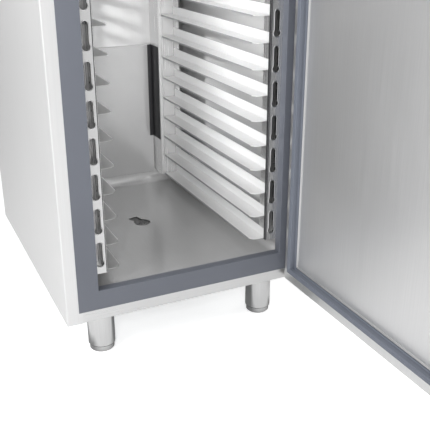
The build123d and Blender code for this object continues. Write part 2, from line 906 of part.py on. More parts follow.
# Inner panel of the door with a rounded bead round its edge
with BuildPart() as door_inner_panel:
    with BuildSketch(door_plane(core_level)):
        door_rectangle(inner_panel_inset)
    extrude(amount=inner_panel_sheet)
    with BuildSketch(door_plane(core_level)):
        door_rectangle(inner_panel_inset)
        with Locations(door_middle):
            Rectangle(
                cabinet_width - 2 * inner_panel_inset - 2 * bead_width,
                door_height - 2 * inner_panel_inset - 2 * bead_width,
                mode=Mode.SUBTRACT,
            )
    extrude(amount=inner_panel_sheet + inner_panel_recess)
    bead_top = door_inner_panel.faces().sort_by(Axis.X)[0]
    fillet(bead_top.edges(), radius=bead_width * 0.45)
save(door_inner_panel, "door_inner_panel")

# Gasket: base in the groove, a waist on each side and a ribbed nose
with BuildPart() as door_gasket:
    gasket_inner = rim_width + gasket_inset
    gasket_start = (door_rim_x, door_edge_y - gasket_inner, door_bottom_z + door_height / 2)
    gasket_section = Plane(origin=gasket_start, x_dir=(0, -1, 0), z_dir=(0, 0, -1))
    with BuildLine(door_plane(0)) as gasket_path:
        Polyline(
            (gasket_inner, door_height / 2),
            (gasket_inner, gasket_inner),
            (cabinet_width - gasket_inner, gasket_inner),
            (cabinet_width - gasket_inner, door_height - gasket_inner),
            (gasket_inner, door_height - gasket_inner),
            close=True,
        )
    rib = gasket_width / gasket_ribs
    rib_foot = gasket_proud - gasket_rib_height
    nose_foot = gasket_proud / 2
    with BuildSketch(gasket_section):
        with BuildLine():
            for count in range(gasket_ribs):
                ThreePointArc(
                    (count * rib, rib_foot),
                    ((count + 0.5) * rib, gasket_proud),
                    ((count + 1) * rib, rib_foot),
                )
            Polyline(
                (gasket_width, rib_foot),
                (gasket_width, nose_foot),
                (gasket_width - gasket_waist, nose_foot - gasket_waist),
                (gasket_width - gasket_waist, gasket_waist),
                (gasket_width, gasket_inset),
                (gasket_width, gasket_inset - gasket_groove),
                (0, gasket_inset - gasket_groove),
                (0, gasket_inset),
                (gasket_waist, gasket_waist),
                (gasket_waist, nose_foot - gasket_waist),
                (0, nose_foot),
                (0, rib_foot),
            )
        make_face()
    sweep(path=gasket_path.wires()[0], transition=Transition.RIGHT)
save(door_gasket, "door_gasket")


# Hinge brackets on the front rails, each with its pin
def hinge_bracket(end):
    """Bracket under the door when end is 1, over it when end is -1."""
    door_end_z = door_bottom_z if end == 1 else door_bottom_z + door_height
    plate_z = door_end_z - end * (hinge_running_gap + hinge_plate / 2)
    rail_edge_z = box_bottom_z if end == 1 else box_top_z
    with BuildPart() as bracket:
        with BuildSketch(Plane.XY.offset(plate_z)):
            with BuildLine():
                left = hinge_x - hinge_width / 2
                right = hinge_x + hinge_width / 2
                Polyline((left, hinge_y), (left, front_y), (right, front_y), (right, hinge_y))
                ThreePointArc(
                    (left, hinge_y),
                    (hinge_x, hinge_y - hinge_width / 2),
                    (right, hinge_y),
                )
            make_face()
        extrude(amount=hinge_plate / 2, both=True)
        flange_z = rail_edge_z + end * (rail_show - hinge_flange_height / 2 - sheet_gap)
        with BuildSketch(facing_front(front_y)):
            with Locations((hinge_x, flange_z)):
                RectangleRounded(hinge_width, hinge_flange_height, hinge_flange)
                with GridLocations(hinge_width - 2 * hinge_screw_inset, 0, 2, 1):
                    with Locations((0, end * hinge_flange)):
                        Circle(hinge_screw_radius, mode=Mode.SUBTRACT)
        extrude(amount=hinge_flange)
        with BuildSketch(Plane.XY.offset(plate_z)):
            hinge_axis_circle(pin_radius)
        extrude(amount=end * (hinge_plate / 2 + hinge_running_gap + pin_length))
        pin_end = bracket.faces().filter_by(Plane.XY).sort_by(Axis.Z)[-1 if end == 1 else 0]
        chamfer(pin_end.edges(), length=pin_play * 10)
    return bracket


hinge_bracket_bottom = hinge_bracket(1)
save(hinge_bracket_bottom, "hinge_bracket_bottom")
hinge_bracket_top = hinge_bracket(-1)
save(hinge_bracket_top, "hinge_bracket_top")

# Bushes pressed into the lower and the upper end of the door
with BuildPart() as hinge_bushes:
    for bush_z in (door_bottom_z, door_bottom_z + door_height - bush_length):
        with BuildSketch(Plane.XY.offset(bush_z)):
            with Locations((hinge_x, hinge_y)):
                Circle(bush_radius)
                Circle(pin_radius + pin_play, mode=Mode.SUBTRACT)
        extrude(amount=bush_length)
save(hinge_bushes, "hinge_bushes")

# Bow handle of bent tube on two round feet
with BuildPart() as door_handle:
    handle_along = cabinet_width - handle_from_free_edge
    handle_plane = door_plane(-door_thickness)
    low = handle_centre_height - handle_length / 2
    high = handle_centre_height + handle_length / 2
    foot_points = [(handle_along, low), (handle_along, high)]
    with BuildSketch(handle_plane):
        with Locations(*foot_points):
            Circle(handle_foot_radius)
    extrude(amount=-handle_foot_height)
    chamfer(door_handle.faces().sort_by(Axis.X)[-1].edges(), length=handle_foot_height / 3)
    bow_origin = handle_plane.from_local_coords((handle_along, low, 0))
    bow_plane = Plane(origin=bow_origin, x_dir=(1, 0, 0), z_dir=(0, -1, 0))
    with BuildLine(bow_plane) as bow:
        FilletPolyline(
            (handle_foot_height / 2, 0),
            (handle_reach, 0),
            (handle_reach, handle_length),
            (handle_foot_height / 2, handle_length),
            radius=handle_bend,
        )
    with BuildSketch(Plane(origin=bow.line @ 0, z_dir=bow.line % 0)):
        Circle(handle_radius)
    sweep(path=bow.line)
save(door_handle, "door_handle")

# Lock: bezel ring on the door and the key barrel that turns in it
lock_plane = door_plane(-door_thickness)
with BuildPart() as lock_bezel:
    with BuildSketch(lock_plane):
        with Locations(lock_place):
            Circle(lock_bezel_radius)
    extrude(amount=-lock_bezel_height)
    chamfer(lock_bezel.faces().sort_by(Axis.X)[-1].edges(), length=lock_bezel_height / 2)
    with BuildSketch(lock_plane):
        with Locations(lock_place):
            Circle(lock_radius + lock_play)
    extrude(amount=-lock_bezel_height, mode=Mode.SUBTRACT)
save(lock_bezel, "lock_bezel")

with BuildPart() as lock_barrel:
    barrel_face = door_plane(-door_thickness - lock_bezel_height - lock_proud)
    with BuildSketch(barrel_face):
        with Locations(lock_place):
            Circle(lock_radius)
    extrude(amount=lock_bezel_height + lock_proud + lock_depth)
    with BuildSketch(barrel_face):
        with Locations(lock_place):
            SlotOverall(keyway_length, keyway_width)
    extrude(amount=keyway_depth, mode=Mode.SUBTRACT)
    chamfer(lock_barrel.faces().sort_by(Axis.X)[-1].outer_wire().edges(), length=lock_proud / 3)
save(lock_barrel, "lock_barrel")

# Control panel: folded cover in front of the upper compartment
control_mid_z = box_top_z + compartment_height / 2
key_row_z = control_mid_z - key_row_drop
display_z = control_mid_z + display_centre_rise
key_names = ("set", "down", "up", "stop")
key_xs = [(count - (len(key_names) - 1) / 2) * key_pitch for count in range(len(key_names))]
with BuildPart() as control_panel:
    with BuildSketch(facing_side(-half_width)):
        low_z = box_top_z + control_sheet / 2
        high_z = cabinet_top_z - control_sheet / 2
        centre = fold_line(
            (front_y - sheet_gap, low_z),
            (control_front_y + control_sheet / 2, low_z),
            (control_front_y + control_sheet / 2, high_z),
            (front_y - sheet_gap, high_z),
            radius=bend_radius,
        )
        trace(centre, line_width=control_sheet)
    extrude(amount=cabinet_width)
    for end_x in (-half_width, half_width - control_sheet):
        with BuildSketch(facing_side(end_x)):
            with Locations(((control_front_y + front_y) / 2, control_mid_z)):
                inner_depth = control_depth - control_sheet - 2 * sheet_gap
                Rectangle(inner_depth, compartment_height - control_sheet)
        extrude(amount=control_sheet)
    with BuildSketch(facing_front(control_front_y + 2 * control_sheet)):
        with Locations((0, display_z)):
            Rectangle(display_width + 2 * sheet_gap, display_height + 2 * sheet_gap)
        for key_x in key_xs:
            with Locations((key_x, key_row_z)):
                SlotOverall(key_width + 2 * key_play, key_height + 2 * key_play)
        with Locations((switch_x, display_z)):
            Rectangle(switch_width + 2 * switch_play, switch_height + 2 * switch_play)
    extrude(amount=4 * control_sheet, mode=Mode.SUBTRACT)
save(control_panel, "control_panel")

# Digital controller behind the panel, and the window over its display
unit_front_y = control_front_y + control_sheet + key_flange_thickness + key_travel + key_play
with BuildPart() as control_unit:
    with BuildSketch(facing_front(unit_front_y)):
        with Locations((0, control_mid_z)):
            RectangleRounded(key_pitch * 5, compartment_height / 2, key_height / 2)
    extrude(amount=-control_unit_depth)
    bezel_back_y = control_front_y + control_sheet + sheet_gap
    with BuildSketch(facing_front(bezel_back_y)):
        with Locations((0, display_z)):
            Rectangle(display_width - 2 * key_flange, display_height - 2 * key_flange)
    extrude(amount=bezel_back_y - unit_front_y - key_play)
save(control_unit, "control_unit")

with BuildPart() as display_window:
    with BuildSketch(facing_front(bezel_back_y)):
        with Locations((0, display_z)):
            Rectangle(display_width, display_height)
    extrude(amount=bezel_back_y - control_front_y + display_proud)
    fillet(display_window.edges().group_by(Axis.Y)[0], radius=display_proud / 2)
save(display_window, "display_window")


# Keys: rounded caps, each held from behind by its flange
def key(x):
    with BuildPart() as cap:
        with BuildSketch(facing_front(control_front_y - key_proud)):
            with Locations((x, key_row_z)):
                SlotOverall(key_width, key_height)
        extrude(amount=-key_proud - control_sheet - sheet_gap)
        chamfer(cap.faces().sort_by(Axis.Y)[0].edges(), length=key_proud / 3)
        with BuildSketch(facing_front(control_front_y + control_sheet + sheet_gap)):
            with Locations((x, key_row_z)):
                SlotOverall(key_width + 2 * key_flange, key_height + 2 * key_flange)
        extrude(amount=-key_flange_thickness)
    return cap


for key_name, key_x in zip(key_names, key_xs):
    save(key(key_x), f"key_{key_name}")

# Main switch: bezel on the panel and a rocker tilted to its off side
with BuildPart() as switch_bezel:
    with BuildSketch(facing_front(control_front_y)):
        with Locations((switch_x, display_z)):
            Rectangle(switch_width + 2 * switch_bezel_width, switch_height + 2 * switch_bezel_width)
            Rectangle(
                switch_width + 2 * switch_play,
                switch_height + 2 * switch_play,
                mode=Mode.SUBTRACT,
            )
    extrude(amount=switch_bezel_proud)
    fillet(switch_bezel.edges().group_by(Axis.Y)[0], radius=switch_bezel_proud / 3)
save(switch_bezel, "switch_bezel")

# The rocker is drawn in the plane through its pivot, square to the pivot's axis
with BuildPart() as main_switch:
    pivot = (switch_x - switch_width / 2, control_front_y + switch_pivot_depth, display_z)
    tilt = math.radians(switch_tilt)
    rocker_up = (0, -math.sin(tilt), math.cos(tilt))
    rocker_plane = Plane(origin=pivot, x_dir=rocker_up, z_dir=(1, 0, 0))
    with BuildSketch(rocker_plane):
        with BuildLine():
            rear = switch_pivot_depth
            Polyline(
                (-switch_half_length, switch_rise),
                (-switch_heel, -rear),
                (switch_heel, -rear),
                (switch_half_length, switch_rise),
            )
            ThreePointArc(
                (switch_half_length, switch_rise),
                (0, switch_dip),
                (-switch_half_length, switch_rise),
            )
        make_face()
    extrude(amount=switch_width)
save(main_switch, "main_switch")

# Top cover with a turned-down edge inside the side panels
with BuildPart() as top_cover:
    with BuildSketch(Plane.XY.offset(cabinet_top_z - outer_sheet)):
        Rectangle(cabinet_width, cabinet_depth)
    extrude(amount=outer_sheet)
    edge_y = front_y + outer_sheet + sheet_gap
    edge_depth = back_y - 2 * outer_sheet - 2 * sheet_gap - edge_y
    with BuildSketch(Plane.XY.offset(cabinet_top_z - outer_sheet - lid_edge)):
        with Locations((0, edge_y + edge_depth / 2)):
            RectangleRounded(2 * inner_half_width, edge_depth, bend_radius)
            Rectangle(
                2 * (inner_half_width - outer_sheet),
                edge_depth - 2 * outer_sheet,
                mode=Mode.SUBTRACT,
            )
    extrude(amount=lid_edge)
save(top_cover, "top_cover")

# Louvred rear wall of the compartment
grille_y = back_y - 2 * outer_sheet
with BuildPart() as rear_grille:
    with BuildSketch(facing_front(grille_y)):
        with Locations((0, (box_top_z + cabinet_top_z - outer_sheet) / 2)):
            Rectangle(2 * sheet_half_width, compartment_height - outer_sheet)
            with GridLocations(0, grille_slot_pitch, 1, grille_slots):
                add(round_ended_slot(grille_slot_length, grille_slot_height), mode=Mode.SUBTRACT)
        with Locations((gland_x, box_top_z + gland_height)):
            Circle(gland_radius + sheet_gap, mode=Mode.SUBTRACT)
    extrude(amount=-outer_sheet)
save(rear_grille, "rear_grille")

# Cable gland: hexagon outside, lock nut inside and a through bore
with BuildPart() as cable_gland:
    gland_place = (gland_x, box_top_z + gland_height)
    with BuildSketch(facing_front(back_y - outer_sheet)):
        with Locations(gland_place):
            RegularPolygon(gland_nut_across / 2, 6, major_radius=False)
    extrude(amount=-gland_nut_length)
    gland_inner_y = back_y - outer_sheet - 2 * gland_nut_length
    with BuildSketch(facing_front(gland_inner_y)):
        with Locations(gland_place):
            Circle(gland_radius)
    extrude(amount=-gland_length - gland_nut_length)
    chamfer(cable_gland.faces().sort_by(Axis.Y)[-1].edges(), length=gland_nut_length / 2)
    with BuildSketch(facing_front(gland_inner_y)):
        with Locations(gland_place):
            Circle(gland_bore)
    extrude(amount=-2 * gland_length, mode=Mode.SUBTRACT)
save(cable_gland, "cable_gland")

# Compressor: welded pot on a foot plate with four grommets
with BuildPart() as compressor:
    with BuildSketch(Plane.XY.offset(box_top_z)):
        with Locations((compressor_x, compressor_y)):
            grommet_x = compressor_plate_length - 2 * grommet_radius
            grommet_y = compressor_plate_width - 2 * grommet_radius
            with GridLocations(grommet_x, grommet_y, 2, 2):
                RegularPolygon(grommet_radius, small_round_sides)
    extrude(amount=compressor_foot)
    with BuildSketch(Plane.XY.offset(box_top_z + compressor_foot)):
        with Locations((compressor_x, compressor_y)):
            RectangleRounded(compressor_plate_length, compressor_plate_width, grommet_radius)
    extrude(amount=compressor_band)
    pot_bottom_z = box_top_z + compressor_foot + compressor_band
    with BuildSketch(Plane.XY.offset(pot_bottom_z)):
        with Locations((compressor_x, compressor_y)):
            Circle(compressor_radius)
    extrude(amount=compressor_height)
    pot_top = compressor.faces().sort_by(Axis.Z)[-1]
    chamfer(pot_top.edges(), length=compressor_shoulder)
    with BuildSketch(Plane.XY.offset(pot_bottom_z + compressor_height / 2)):
        with Locations((compressor_x, compressor_y)):
            Circle(compressor_radius + compressor_band)
    extrude(amount=compressor_band)
save(compressor, "compressor")


def finned_coil(centre_x, middle_y, low_z, half_width, depth, height, fins):
    """Heat exchanger: end plates, fins between them and two tube slabs."""
    with BuildPart() as coil:
        with BuildSketch(facing_side(centre_x - half_width)):
            with Locations((middle_y, low_z + height / 2)):
                Rectangle(depth, height)
        extrude(amount=coil_end_plate)
        with BuildSketch(facing_side(centre_x + half_width - coil_end_plate)):
            with Locations((middle_y, low_z + height / 2)):
                Rectangle(depth, height)
        extrude(amount=coil_end_plate)
        fin_pitch = 2 * half_width / (fins + 1)
        for count in range(fins):
            fin_x = centre_x - half_width + (count + 1) * fin_pitch
            with BuildSketch(facing_side(fin_x)):
                with Locations((middle_y, low_z + height / 2)):
                    Rectangle(depth - 2 * coil_end_plate, height - 2 * coil_end_plate)
            extrude(amount=fin_thickness)
        with BuildSketch(facing_side(centre_x - half_width)):
            with Locations((middle_y, low_z + height / 2)):
                with GridLocations(0, coil_slab_pitch, 1, 2):
                    Rectangle(depth / 2, coil_slab)
        extrude(amount=2 * half_width)
    return coil


def fan_wheel(x, middle_y, z, radius):
    """Axial fan: rounded hub, pitched blades and the shaft behind it."""
    hub_plane = Plane(origin=(x, middle_y, z), x_dir=(1, 0, 0), z_dir=(0, -1, 0))
    with BuildPart() as wheel:
        with BuildSketch(hub_plane.offset(-fan_hub_length / 2)):
            Circle(fan_hub_radius)
        extrude(amount=fan_hub_length)
        chamfer(wheel.faces().sort_by(Axis.Y)[0].edges(), length=fan_hub_radius / 4)
        root_half_chord = fan_hub_radius * blade_root_share
        tip_half_chord = radius * blade_tip_share
        pitch = math.radians(blade_pitch)
        for count in range(fan_blades):
            turn = math.radians(count * 360 / fan_blades)
            outwards = (math.cos(turn), 0, math.sin(turn))
            blade_normal = (
                -math.sin(pitch) * math.sin(turn),
                -math.cos(pitch),
                math.sin(pitch) * math.cos(turn),
            )
            blade_plane = Plane(origin=(x, middle_y, z), x_dir=outwards, z_dir=blade_normal)
            with BuildSketch(blade_plane):
                with BuildLine():
                    root_x = fan_hub_radius - fan_hub_radius / 4
                    tip_x = math.sqrt(radius**2 - tip_half_chord**2)
                    Polyline(
                        (tip_x, tip_half_chord),
                        (root_x, root_half_chord),
                        (root_x, -root_half_chord),
                        (tip_x, -tip_half_chord),
                    )
                    ThreePointArc(
                        (tip_x, -tip_half_chord),
                        (radius, 0),
                        (tip_x, tip_half_chord),
                    )
                make_face()
            extrude(amount=blade_thickness / 2, both=True)
        with BuildSketch(hub_plane.offset(-fan_hub_length / 2)):
            Circle(shaft_radius)
        extrude(amount=-shaft_length)
    return wheel


# Condenser with its shroud, the motor on the shroud's arms, and the fan
condenser = finned_coil(
    condenser_x,
    condenser_y,
    box_top_z,
    condenser_width / 2,
    condenser_depth,
    condenser_height,
    condenser_fins,
)
save(condenser, "condenser")

shroud_front_y = condenser_y + condenser_depth / 2
shroud_back_y = shroud_front_y + fan_bay_depth
condenser_mid_z = box_top_z + condenser_height / 2
with BuildPart() as condenser_shroud:
    with BuildSketch(facing_front(shroud_front_y)):
        with Locations((condenser_x, condenser_mid_z)):
            Rectangle(condenser_width, condenser_height)
            Rectangle(
                condenser_width - 2 * shroud_sheet,
                condenser_height - 2 * shroud_sheet,
                mode=Mode.SUBTRACT,
            )
    extrude(amount=-fan_bay_depth)
    with BuildSketch(facing_front(shroud_back_y)):
        with Locations((condenser_x, condenser_mid_z)):
            Rectangle(condenser_width, condenser_height)
            Circle(condenser_fan_radius + fan_tip_gap, mode=Mode.SUBTRACT)
    extrude(amount=shroud_sheet)
    with BuildSketch(facing_front(shroud_back_y)):
        with Locations((condenser_x, condenser_mid_z)):
            Rectangle(motor_radius, condenser_height)
            Circle(motor_radius)
    extrude(amount=-shroud_sheet * 2)
    with BuildSketch(facing_front(shroud_back_y)):
        with Locations((condenser_x, condenser_mid_z)):
            Circle(motor_radius)
    extrude(amount=-motor_length)
    chamfer(condenser_shroud.faces().sort_by(Axis.Y)[-1].edges(), length=motor_radius / 4)
    with BuildSketch(facing_front(shroud_back_y)):
        with Locations((condenser_x, condenser_mid_z)):
            Circle(shaft_radius + shaft_play)
    extrude(amount=-shaft_bore_depth, mode=Mode.SUBTRACT)
save(condenser_shroud, "condenser_shroud")

condenser_fan_y = shroud_front_y + fan_bay_depth / 2
condenser_fan = fan_wheel(condenser_x, condenser_fan_y, condenser_mid_z, condenser_fan_radius)
save(condenser_fan, "condenser_fan")

# Humidifier: water boiler with a sloped shoulder and a steam pipe
with BuildPart() as humidifier:
    with BuildSketch(Plane.XY.offset(box_top_z)):
        with Locations((humidifier_x, humidifier_y)):
            Circle(humidifier_radius)
    extrude(amount=humidifier_height)
    chamfer(humidifier.edges().group_by(Axis.Z)[-1], length=humidifier_shoulder)
    with BuildSketch(Plane.XY.offset(box_top_z + humidifier_height)):
        with Locations((humidifier_x, humidifier_y)):
            Circle(humidifier_pipe_radius)
    extrude(amount=humidifier_pipe_rise)
save(humidifier, "humidifier")

# Evaporator housing under the cavity's roof, with fan mouths and intake slots
cover_front_y = front_y + evaporator_front
cover_bottom_z = cavity_ceiling_z - evaporator_drop
evaporator_fan_z = cavity_ceiling_z - evaporator_drop / 2
with BuildPart() as evaporator_cover:
    with BuildSketch(facing_side(-evaporator_half_width)):
        centre = fold_line(
            (cover_front_y, cavity_ceiling_z - wall_gap),
            (cover_front_y, cover_bottom_z),
            (cavity_back_y - rear_corner_radius, cover_bottom_z),
            radius=2 * evaporator_sheet,
        )
        trace(centre, line_width=evaporator_sheet)
    extrude(amount=2 * evaporator_half_width)
    with BuildSketch(facing_front(cover_front_y + evaporator_sheet)):
        with Locations((0, evaporator_fan_z)):
            with GridLocations(2 * evaporator_fan_x, 0, 2, 1):
                Circle(evaporator_fan_radius + fan_tip_gap)
    extrude(amount=2 * evaporator_sheet, mode=Mode.SUBTRACT)
    with BuildSketch(Plane.XY.offset(cover_bottom_z - evaporator_sheet)):
        slot_y = cavity_back_y - evaporator_coil_back_gap - cover_slots * cover_slot_pitch / 2
        with Locations((0, slot_y)):
            with GridLocations(0, cover_slot_pitch, 1, cover_slots):
                Rectangle(2 * heater_half_width, cover_slot_pitch / 3)
    extrude(amount=2 * evaporator_sheet, mode=Mode.SUBTRACT)
save(evaporator_cover, "evaporator_cover")

coil_back_y = cavity_back_y - evaporator_coil_back_gap
coil_mid_y = coil_back_y - evaporator_coil_depth / 2
evaporator = finned_coil(
    0,
    coil_mid_y,
    cavity_ceiling_z - wall_gap - evaporator_coil_height,
    coil_half_width,
    evaporator_coil_depth,
    evaporator_coil_height,
    evaporator_fins,
)
save(evaporator, "evaporator")

# Evaporator fans and their motors, each motor on a strap from the roof
evaporator_fan_y = cover_front_y + fan_bay_depth / 2
motor_front_y = cover_front_y + fan_bay_depth
with BuildPart() as fan_motors:
    for motor_x in (-evaporator_fan_x, evaporator_fan_x):
        with BuildSketch(facing_front(motor_front_y)):
            with Locations((motor_x, evaporator_fan_z)):
                Circle(motor_radius)
            strap_height = cavity_ceiling_z - wall_gap - evaporator_fan_z
            with Locations((motor_x, evaporator_fan_z + strap_height / 2)):
                Rectangle(motor_radius, strap_height)
        extrude(amount=-2 * evaporator_sheet)
        with BuildSketch(facing_front(motor_front_y)):
            with Locations((motor_x, evaporator_fan_z)):
                Circle(motor_radius)
        extrude(amount=-motor_length)
        with BuildSketch(facing_front(motor_front_y)):
            with Locations((motor_x, evaporator_fan_z)):
                Circle(shaft_radius + shaft_play)
        extrude(amount=-shaft_bore_depth, mode=Mode.SUBTRACT)
save(fan_motors, "fan_motors")

for side_name, fan_x in (("left", -evaporator_fan_x), ("right", evaporator_fan_x)):
    wheel = fan_wheel(fan_x, evaporator_fan_y, evaporator_fan_z, evaporator_fan_radius)
    save(wheel, f"evaporator_fan_{side_name}")

# Heating element: bent rod hanging from the roof in front of the coil
heater_y = coil_mid_y - evaporator_coil_depth / 2 - heater_gap
heater_top_z = cavity_ceiling_z - wall_gap
heater_low_z = cover_bottom_z + heater_rise
with BuildPart() as heating_element:
    with BuildLine(facing_front(heater_y)) as heater_path:
        FilletPolyline(
            (-heater_half_width, heater_top_z),
            (-heater_half_width, heater_low_z),
            (heater_half_width, heater_low_z),
            (heater_half_width, heater_top_z),
            radius=heater_bend,
        )
    with BuildSketch(Plane(origin=heater_path.line @ 0, z_dir=heater_path.line % 0)):
        RegularPolygon(heater_radius, small_round_sides)
    sweep(path=heater_path.line)
save(heating_element, "heating_element")
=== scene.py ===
import math

import bmesh
import bpy
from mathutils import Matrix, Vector


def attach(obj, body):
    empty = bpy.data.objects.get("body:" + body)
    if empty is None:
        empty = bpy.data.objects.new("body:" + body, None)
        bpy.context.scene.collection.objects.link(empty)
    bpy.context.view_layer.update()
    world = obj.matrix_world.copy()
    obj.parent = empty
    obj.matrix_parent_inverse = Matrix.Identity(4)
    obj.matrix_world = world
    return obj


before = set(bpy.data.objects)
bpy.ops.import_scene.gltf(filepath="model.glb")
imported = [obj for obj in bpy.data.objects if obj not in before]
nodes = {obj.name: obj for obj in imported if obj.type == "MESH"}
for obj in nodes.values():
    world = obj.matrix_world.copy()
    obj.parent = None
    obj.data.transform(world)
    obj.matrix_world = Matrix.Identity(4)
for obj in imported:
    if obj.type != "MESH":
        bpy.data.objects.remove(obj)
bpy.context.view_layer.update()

# Shares of a noise that are spread over a material's range
LINE_BAND = (0.3, 0.7)
STAIN_BAND = (0.35, 0.65)

# Noise scales of the sheet metal, in turns a metre
GRAIN_ACROSS = 420.0
GRAIN_ALONG = 5.0
STAIN_SCALE = 3.2
SWELL_SCALE = 2.4

# Metres: where the runners' hem ends, and the height of the cavity floor
HEM_EDGE = 0.1689
HEM_BLEND = 0.0006
FLOOR_TOP = 0.178
FLOOR_BLEND = 0.004


# Node helpers
def new_material(name):
    """Material with an empty principled shader, and its node tree."""
    material = bpy.data.materials.new(name)
    material.use_nodes = True
    tree = material.node_tree
    shader = tree.nodes["Principled BSDF"]
    return material, tree, shader


def object_coordinates(tree, scale=(1.0, 1.0, 1.0)):
    """Object coordinates, stretched by a scale."""
    place = tree.nodes.new("ShaderNodeTexCoord")
    mapping = tree.nodes.new("ShaderNodeMapping")
    mapping.inputs["Scale"].default_value = scale
    tree.links.new(place.outputs["Object"], mapping.inputs["Vector"])
    return mapping.outputs["Vector"]


def object_axes(tree, coordinates):
    """Object coordinates, taken apart into X, Y and Z."""
    axes = tree.nodes.new("ShaderNodeSeparateXYZ")
    tree.links.new(coordinates, axes.inputs[0])
    return axes.outputs


def noise(tree, vector, scale, detail=2.0):
    """Noise texture's value on a vector."""
    texture = tree.nodes.new("ShaderNodeTexNoise")
    texture.inputs["Scale"].default_value = scale
    texture.inputs["Detail"].default_value = detail
    texture.inputs["Roughness"].default_value = 0.5
    tree.links.new(vector, texture.inputs["Vector"])
    return texture.outputs["Fac"]


def span(tree, value, from_low, from_high, to_low, to_high):
    """Value mapped from one range to another, clamped."""
    node = tree.nodes.new("ShaderNodeMapRange")
    node.inputs["From Min"].default_value = from_low
    node.inputs["From Max"].default_value = from_high
    node.inputs["To Min"].default_value = to_low
    node.inputs["To Max"].default_value = to_high
    tree.links.new(value, node.inputs["Value"])
    return node.outputs["Result"]


def combine(tree, operation, first, second):
    """Math node on two values, the second of which may be a number."""
    node = tree.nodes.new("ShaderNodeMath")
    node.operation = operation
    tree.links.new(first, node.inputs[0])
    if isinstance(second, float):
        node.inputs[1].default_value = second
    else:
        tree.links.new(second, node.inputs[1])
    return node.outputs[0]


def tint(tree, value, dark, light):
    """Colour between two, chosen by a value from 0 to 1."""
    ramp = tree.nodes.new("ShaderNodeValToRGB")
    ramp.color_ramp.elements[0].color = (*dark, 1.0)
    ramp.color_ramp.elements[1].color = (*light, 1.0)
    tree.links.new(value, ramp.inputs["Fac"])
    return ramp.outputs["Color"]


def shaded(tree, colour, shade):
    """Colour multiplied by a shade."""
    mix = tree.nodes.new("ShaderNodeMix")
    mix.data_type = "RGBA"
    mix.blend_type = "MULTIPLY"
    mix.inputs["Factor"].default_value = 1.0
    tree.links.new(colour, mix.inputs["A"])
    tree.links.new(shade, mix.inputs["B"])
    return mix.outputs["Result"]


def bump(tree, shader, height, strength, distance):
    """Bump on the shader's normal."""
    node = tree.nodes.new("ShaderNodeBump")
    node.inputs["Strength"].default_value = strength
    node.inputs["Distance"].default_value = distance
    tree.links.new(height, node.inputs["Height"])
    tree.links.new(node.outputs["Normal"], shader.inputs["Normal"])


def grey(level):
    """Colour without a hue."""
    return (level, level, level)


def scaled(tone, factor):
    """Colour made darker or lighter, up to white."""
    return [min(channel * factor, 1.0) for channel in tone]


# Sheet metal: grain along one axis, soft stains and a slight wave of the sheet
def grain_lines(tree, stretch):
    """Fine lines, long where the stretch is small."""
    return noise(tree, object_coordinates(tree, stretch), 1.0, detail=3.0)


def soft_stains(tree):
    """Broad soft stains."""
    return noise(tree, object_coordinates(tree), STAIN_SCALE, detail=4.0)


def waved(tree, lines, wave):
    """Lines on top of a slow swell of the sheet."""
    swell = noise(tree, object_coordinates(tree), SWELL_SCALE, detail=1.0)
    return combine(tree, "ADD", combine(tree, "MULTIPLY", swell, wave), lines)


def steel(
    name,
    grain_axis,
    tone,
    roughness,
    grain=0.05,
    wave=0.0,
    spread=0.06,
    metal=0.85,
    relief=0.0004,
):
    """Brushed or bright stainless steel with its grain along x, y or z."""
    material, tree, shader = new_material(name)
    shader.inputs["Metallic"].default_value = metal
    stretch = [GRAIN_ACROSS] * 3
    stretch["xyz".index(grain_axis)] = GRAIN_ALONG
    lines = grain_lines(tree, stretch)
    stains = soft_stains(tree)
    line_tone = span(tree, lines, *LINE_BAND, -grain, grain)
    stain_tone = span(tree, stains, *STAIN_BAND, -grain * 0.4, grain * 0.4)
    shade = combine(tree, "ADD", combine(tree, "ADD", line_tone, stain_tone), 0.5)
    base = tint(tree, shade, scaled(tone, 0.5), scaled(tone, 1.5))
    tree.links.new(base, shader.inputs["Base Color"])
    line_gloss = span(tree, lines, *LINE_BAND, roughness - spread, roughness + spread)
    stain_gloss = span(tree, stains, *STAIN_BAND, -spread / 2, spread / 2)
    tree.links.new(combine(tree, "ADD", line_gloss, stain_gloss), shader.inputs["Roughness"])
    bump(tree, shader, waved(tree, lines, wave) if wave else lines, 0.12, relief)
    return material


def plastic(name, tone, roughness, grain_scale=900.0, grain_depth=0.00006):
    """Moulded plastic or rubber with a fine eroded grain."""
    material, tree, shader = new_material(name)
    variation = 0.08
    gloss_spread = 0.05
    coordinates = object_coordinates(tree)
    grain = noise(tree, coordinates, grain_scale, detail=3.0)
    patches = noise(tree, coordinates, 7.0, detail=3.0)
    base = tint(tree, patches, scaled(tone, 1.0 - variation), scaled(tone, 1.0 + variation))
    tree.links.new(base, shader.inputs["Base Color"])
    gloss = span(tree, grain, *LINE_BAND, roughness - gloss_spread, roughness + gloss_spread)
    tree.links.new(gloss, shader.inputs["Roughness"])
    bump(tree, shader, grain, 0.4, grain_depth)
    return material


def painted(name, tone, roughness):
    """Painted or zinc-coated metal with a mottled coat."""
    material, tree, shader = new_material(name)
    gloss_spread = 0.07
    coordinates = object_coordinates(tree)
    cells = tree.nodes.new("ShaderNodeTexVoronoi")
    cells.inputs["Scale"].default_value = 90.0
    tree.links.new(coordinates, cells.inputs["Vector"])
    peel = noise(tree, coordinates, 260.0, detail=2.0)
    base = tint(tree, cells.outputs["Distance"], scaled(tone, 0.86), scaled(tone, 1.1))
    tree.links.new(base, shader.inputs["Base Color"])
    gloss = span(tree, peel, *LINE_BAND, roughness - gloss_spread, roughness + gloss_spread)
    tree.links.new(gloss, shader.inputs["Roughness"])
    bump(tree, shader, peel, 0.25, 0.00012)
    return material


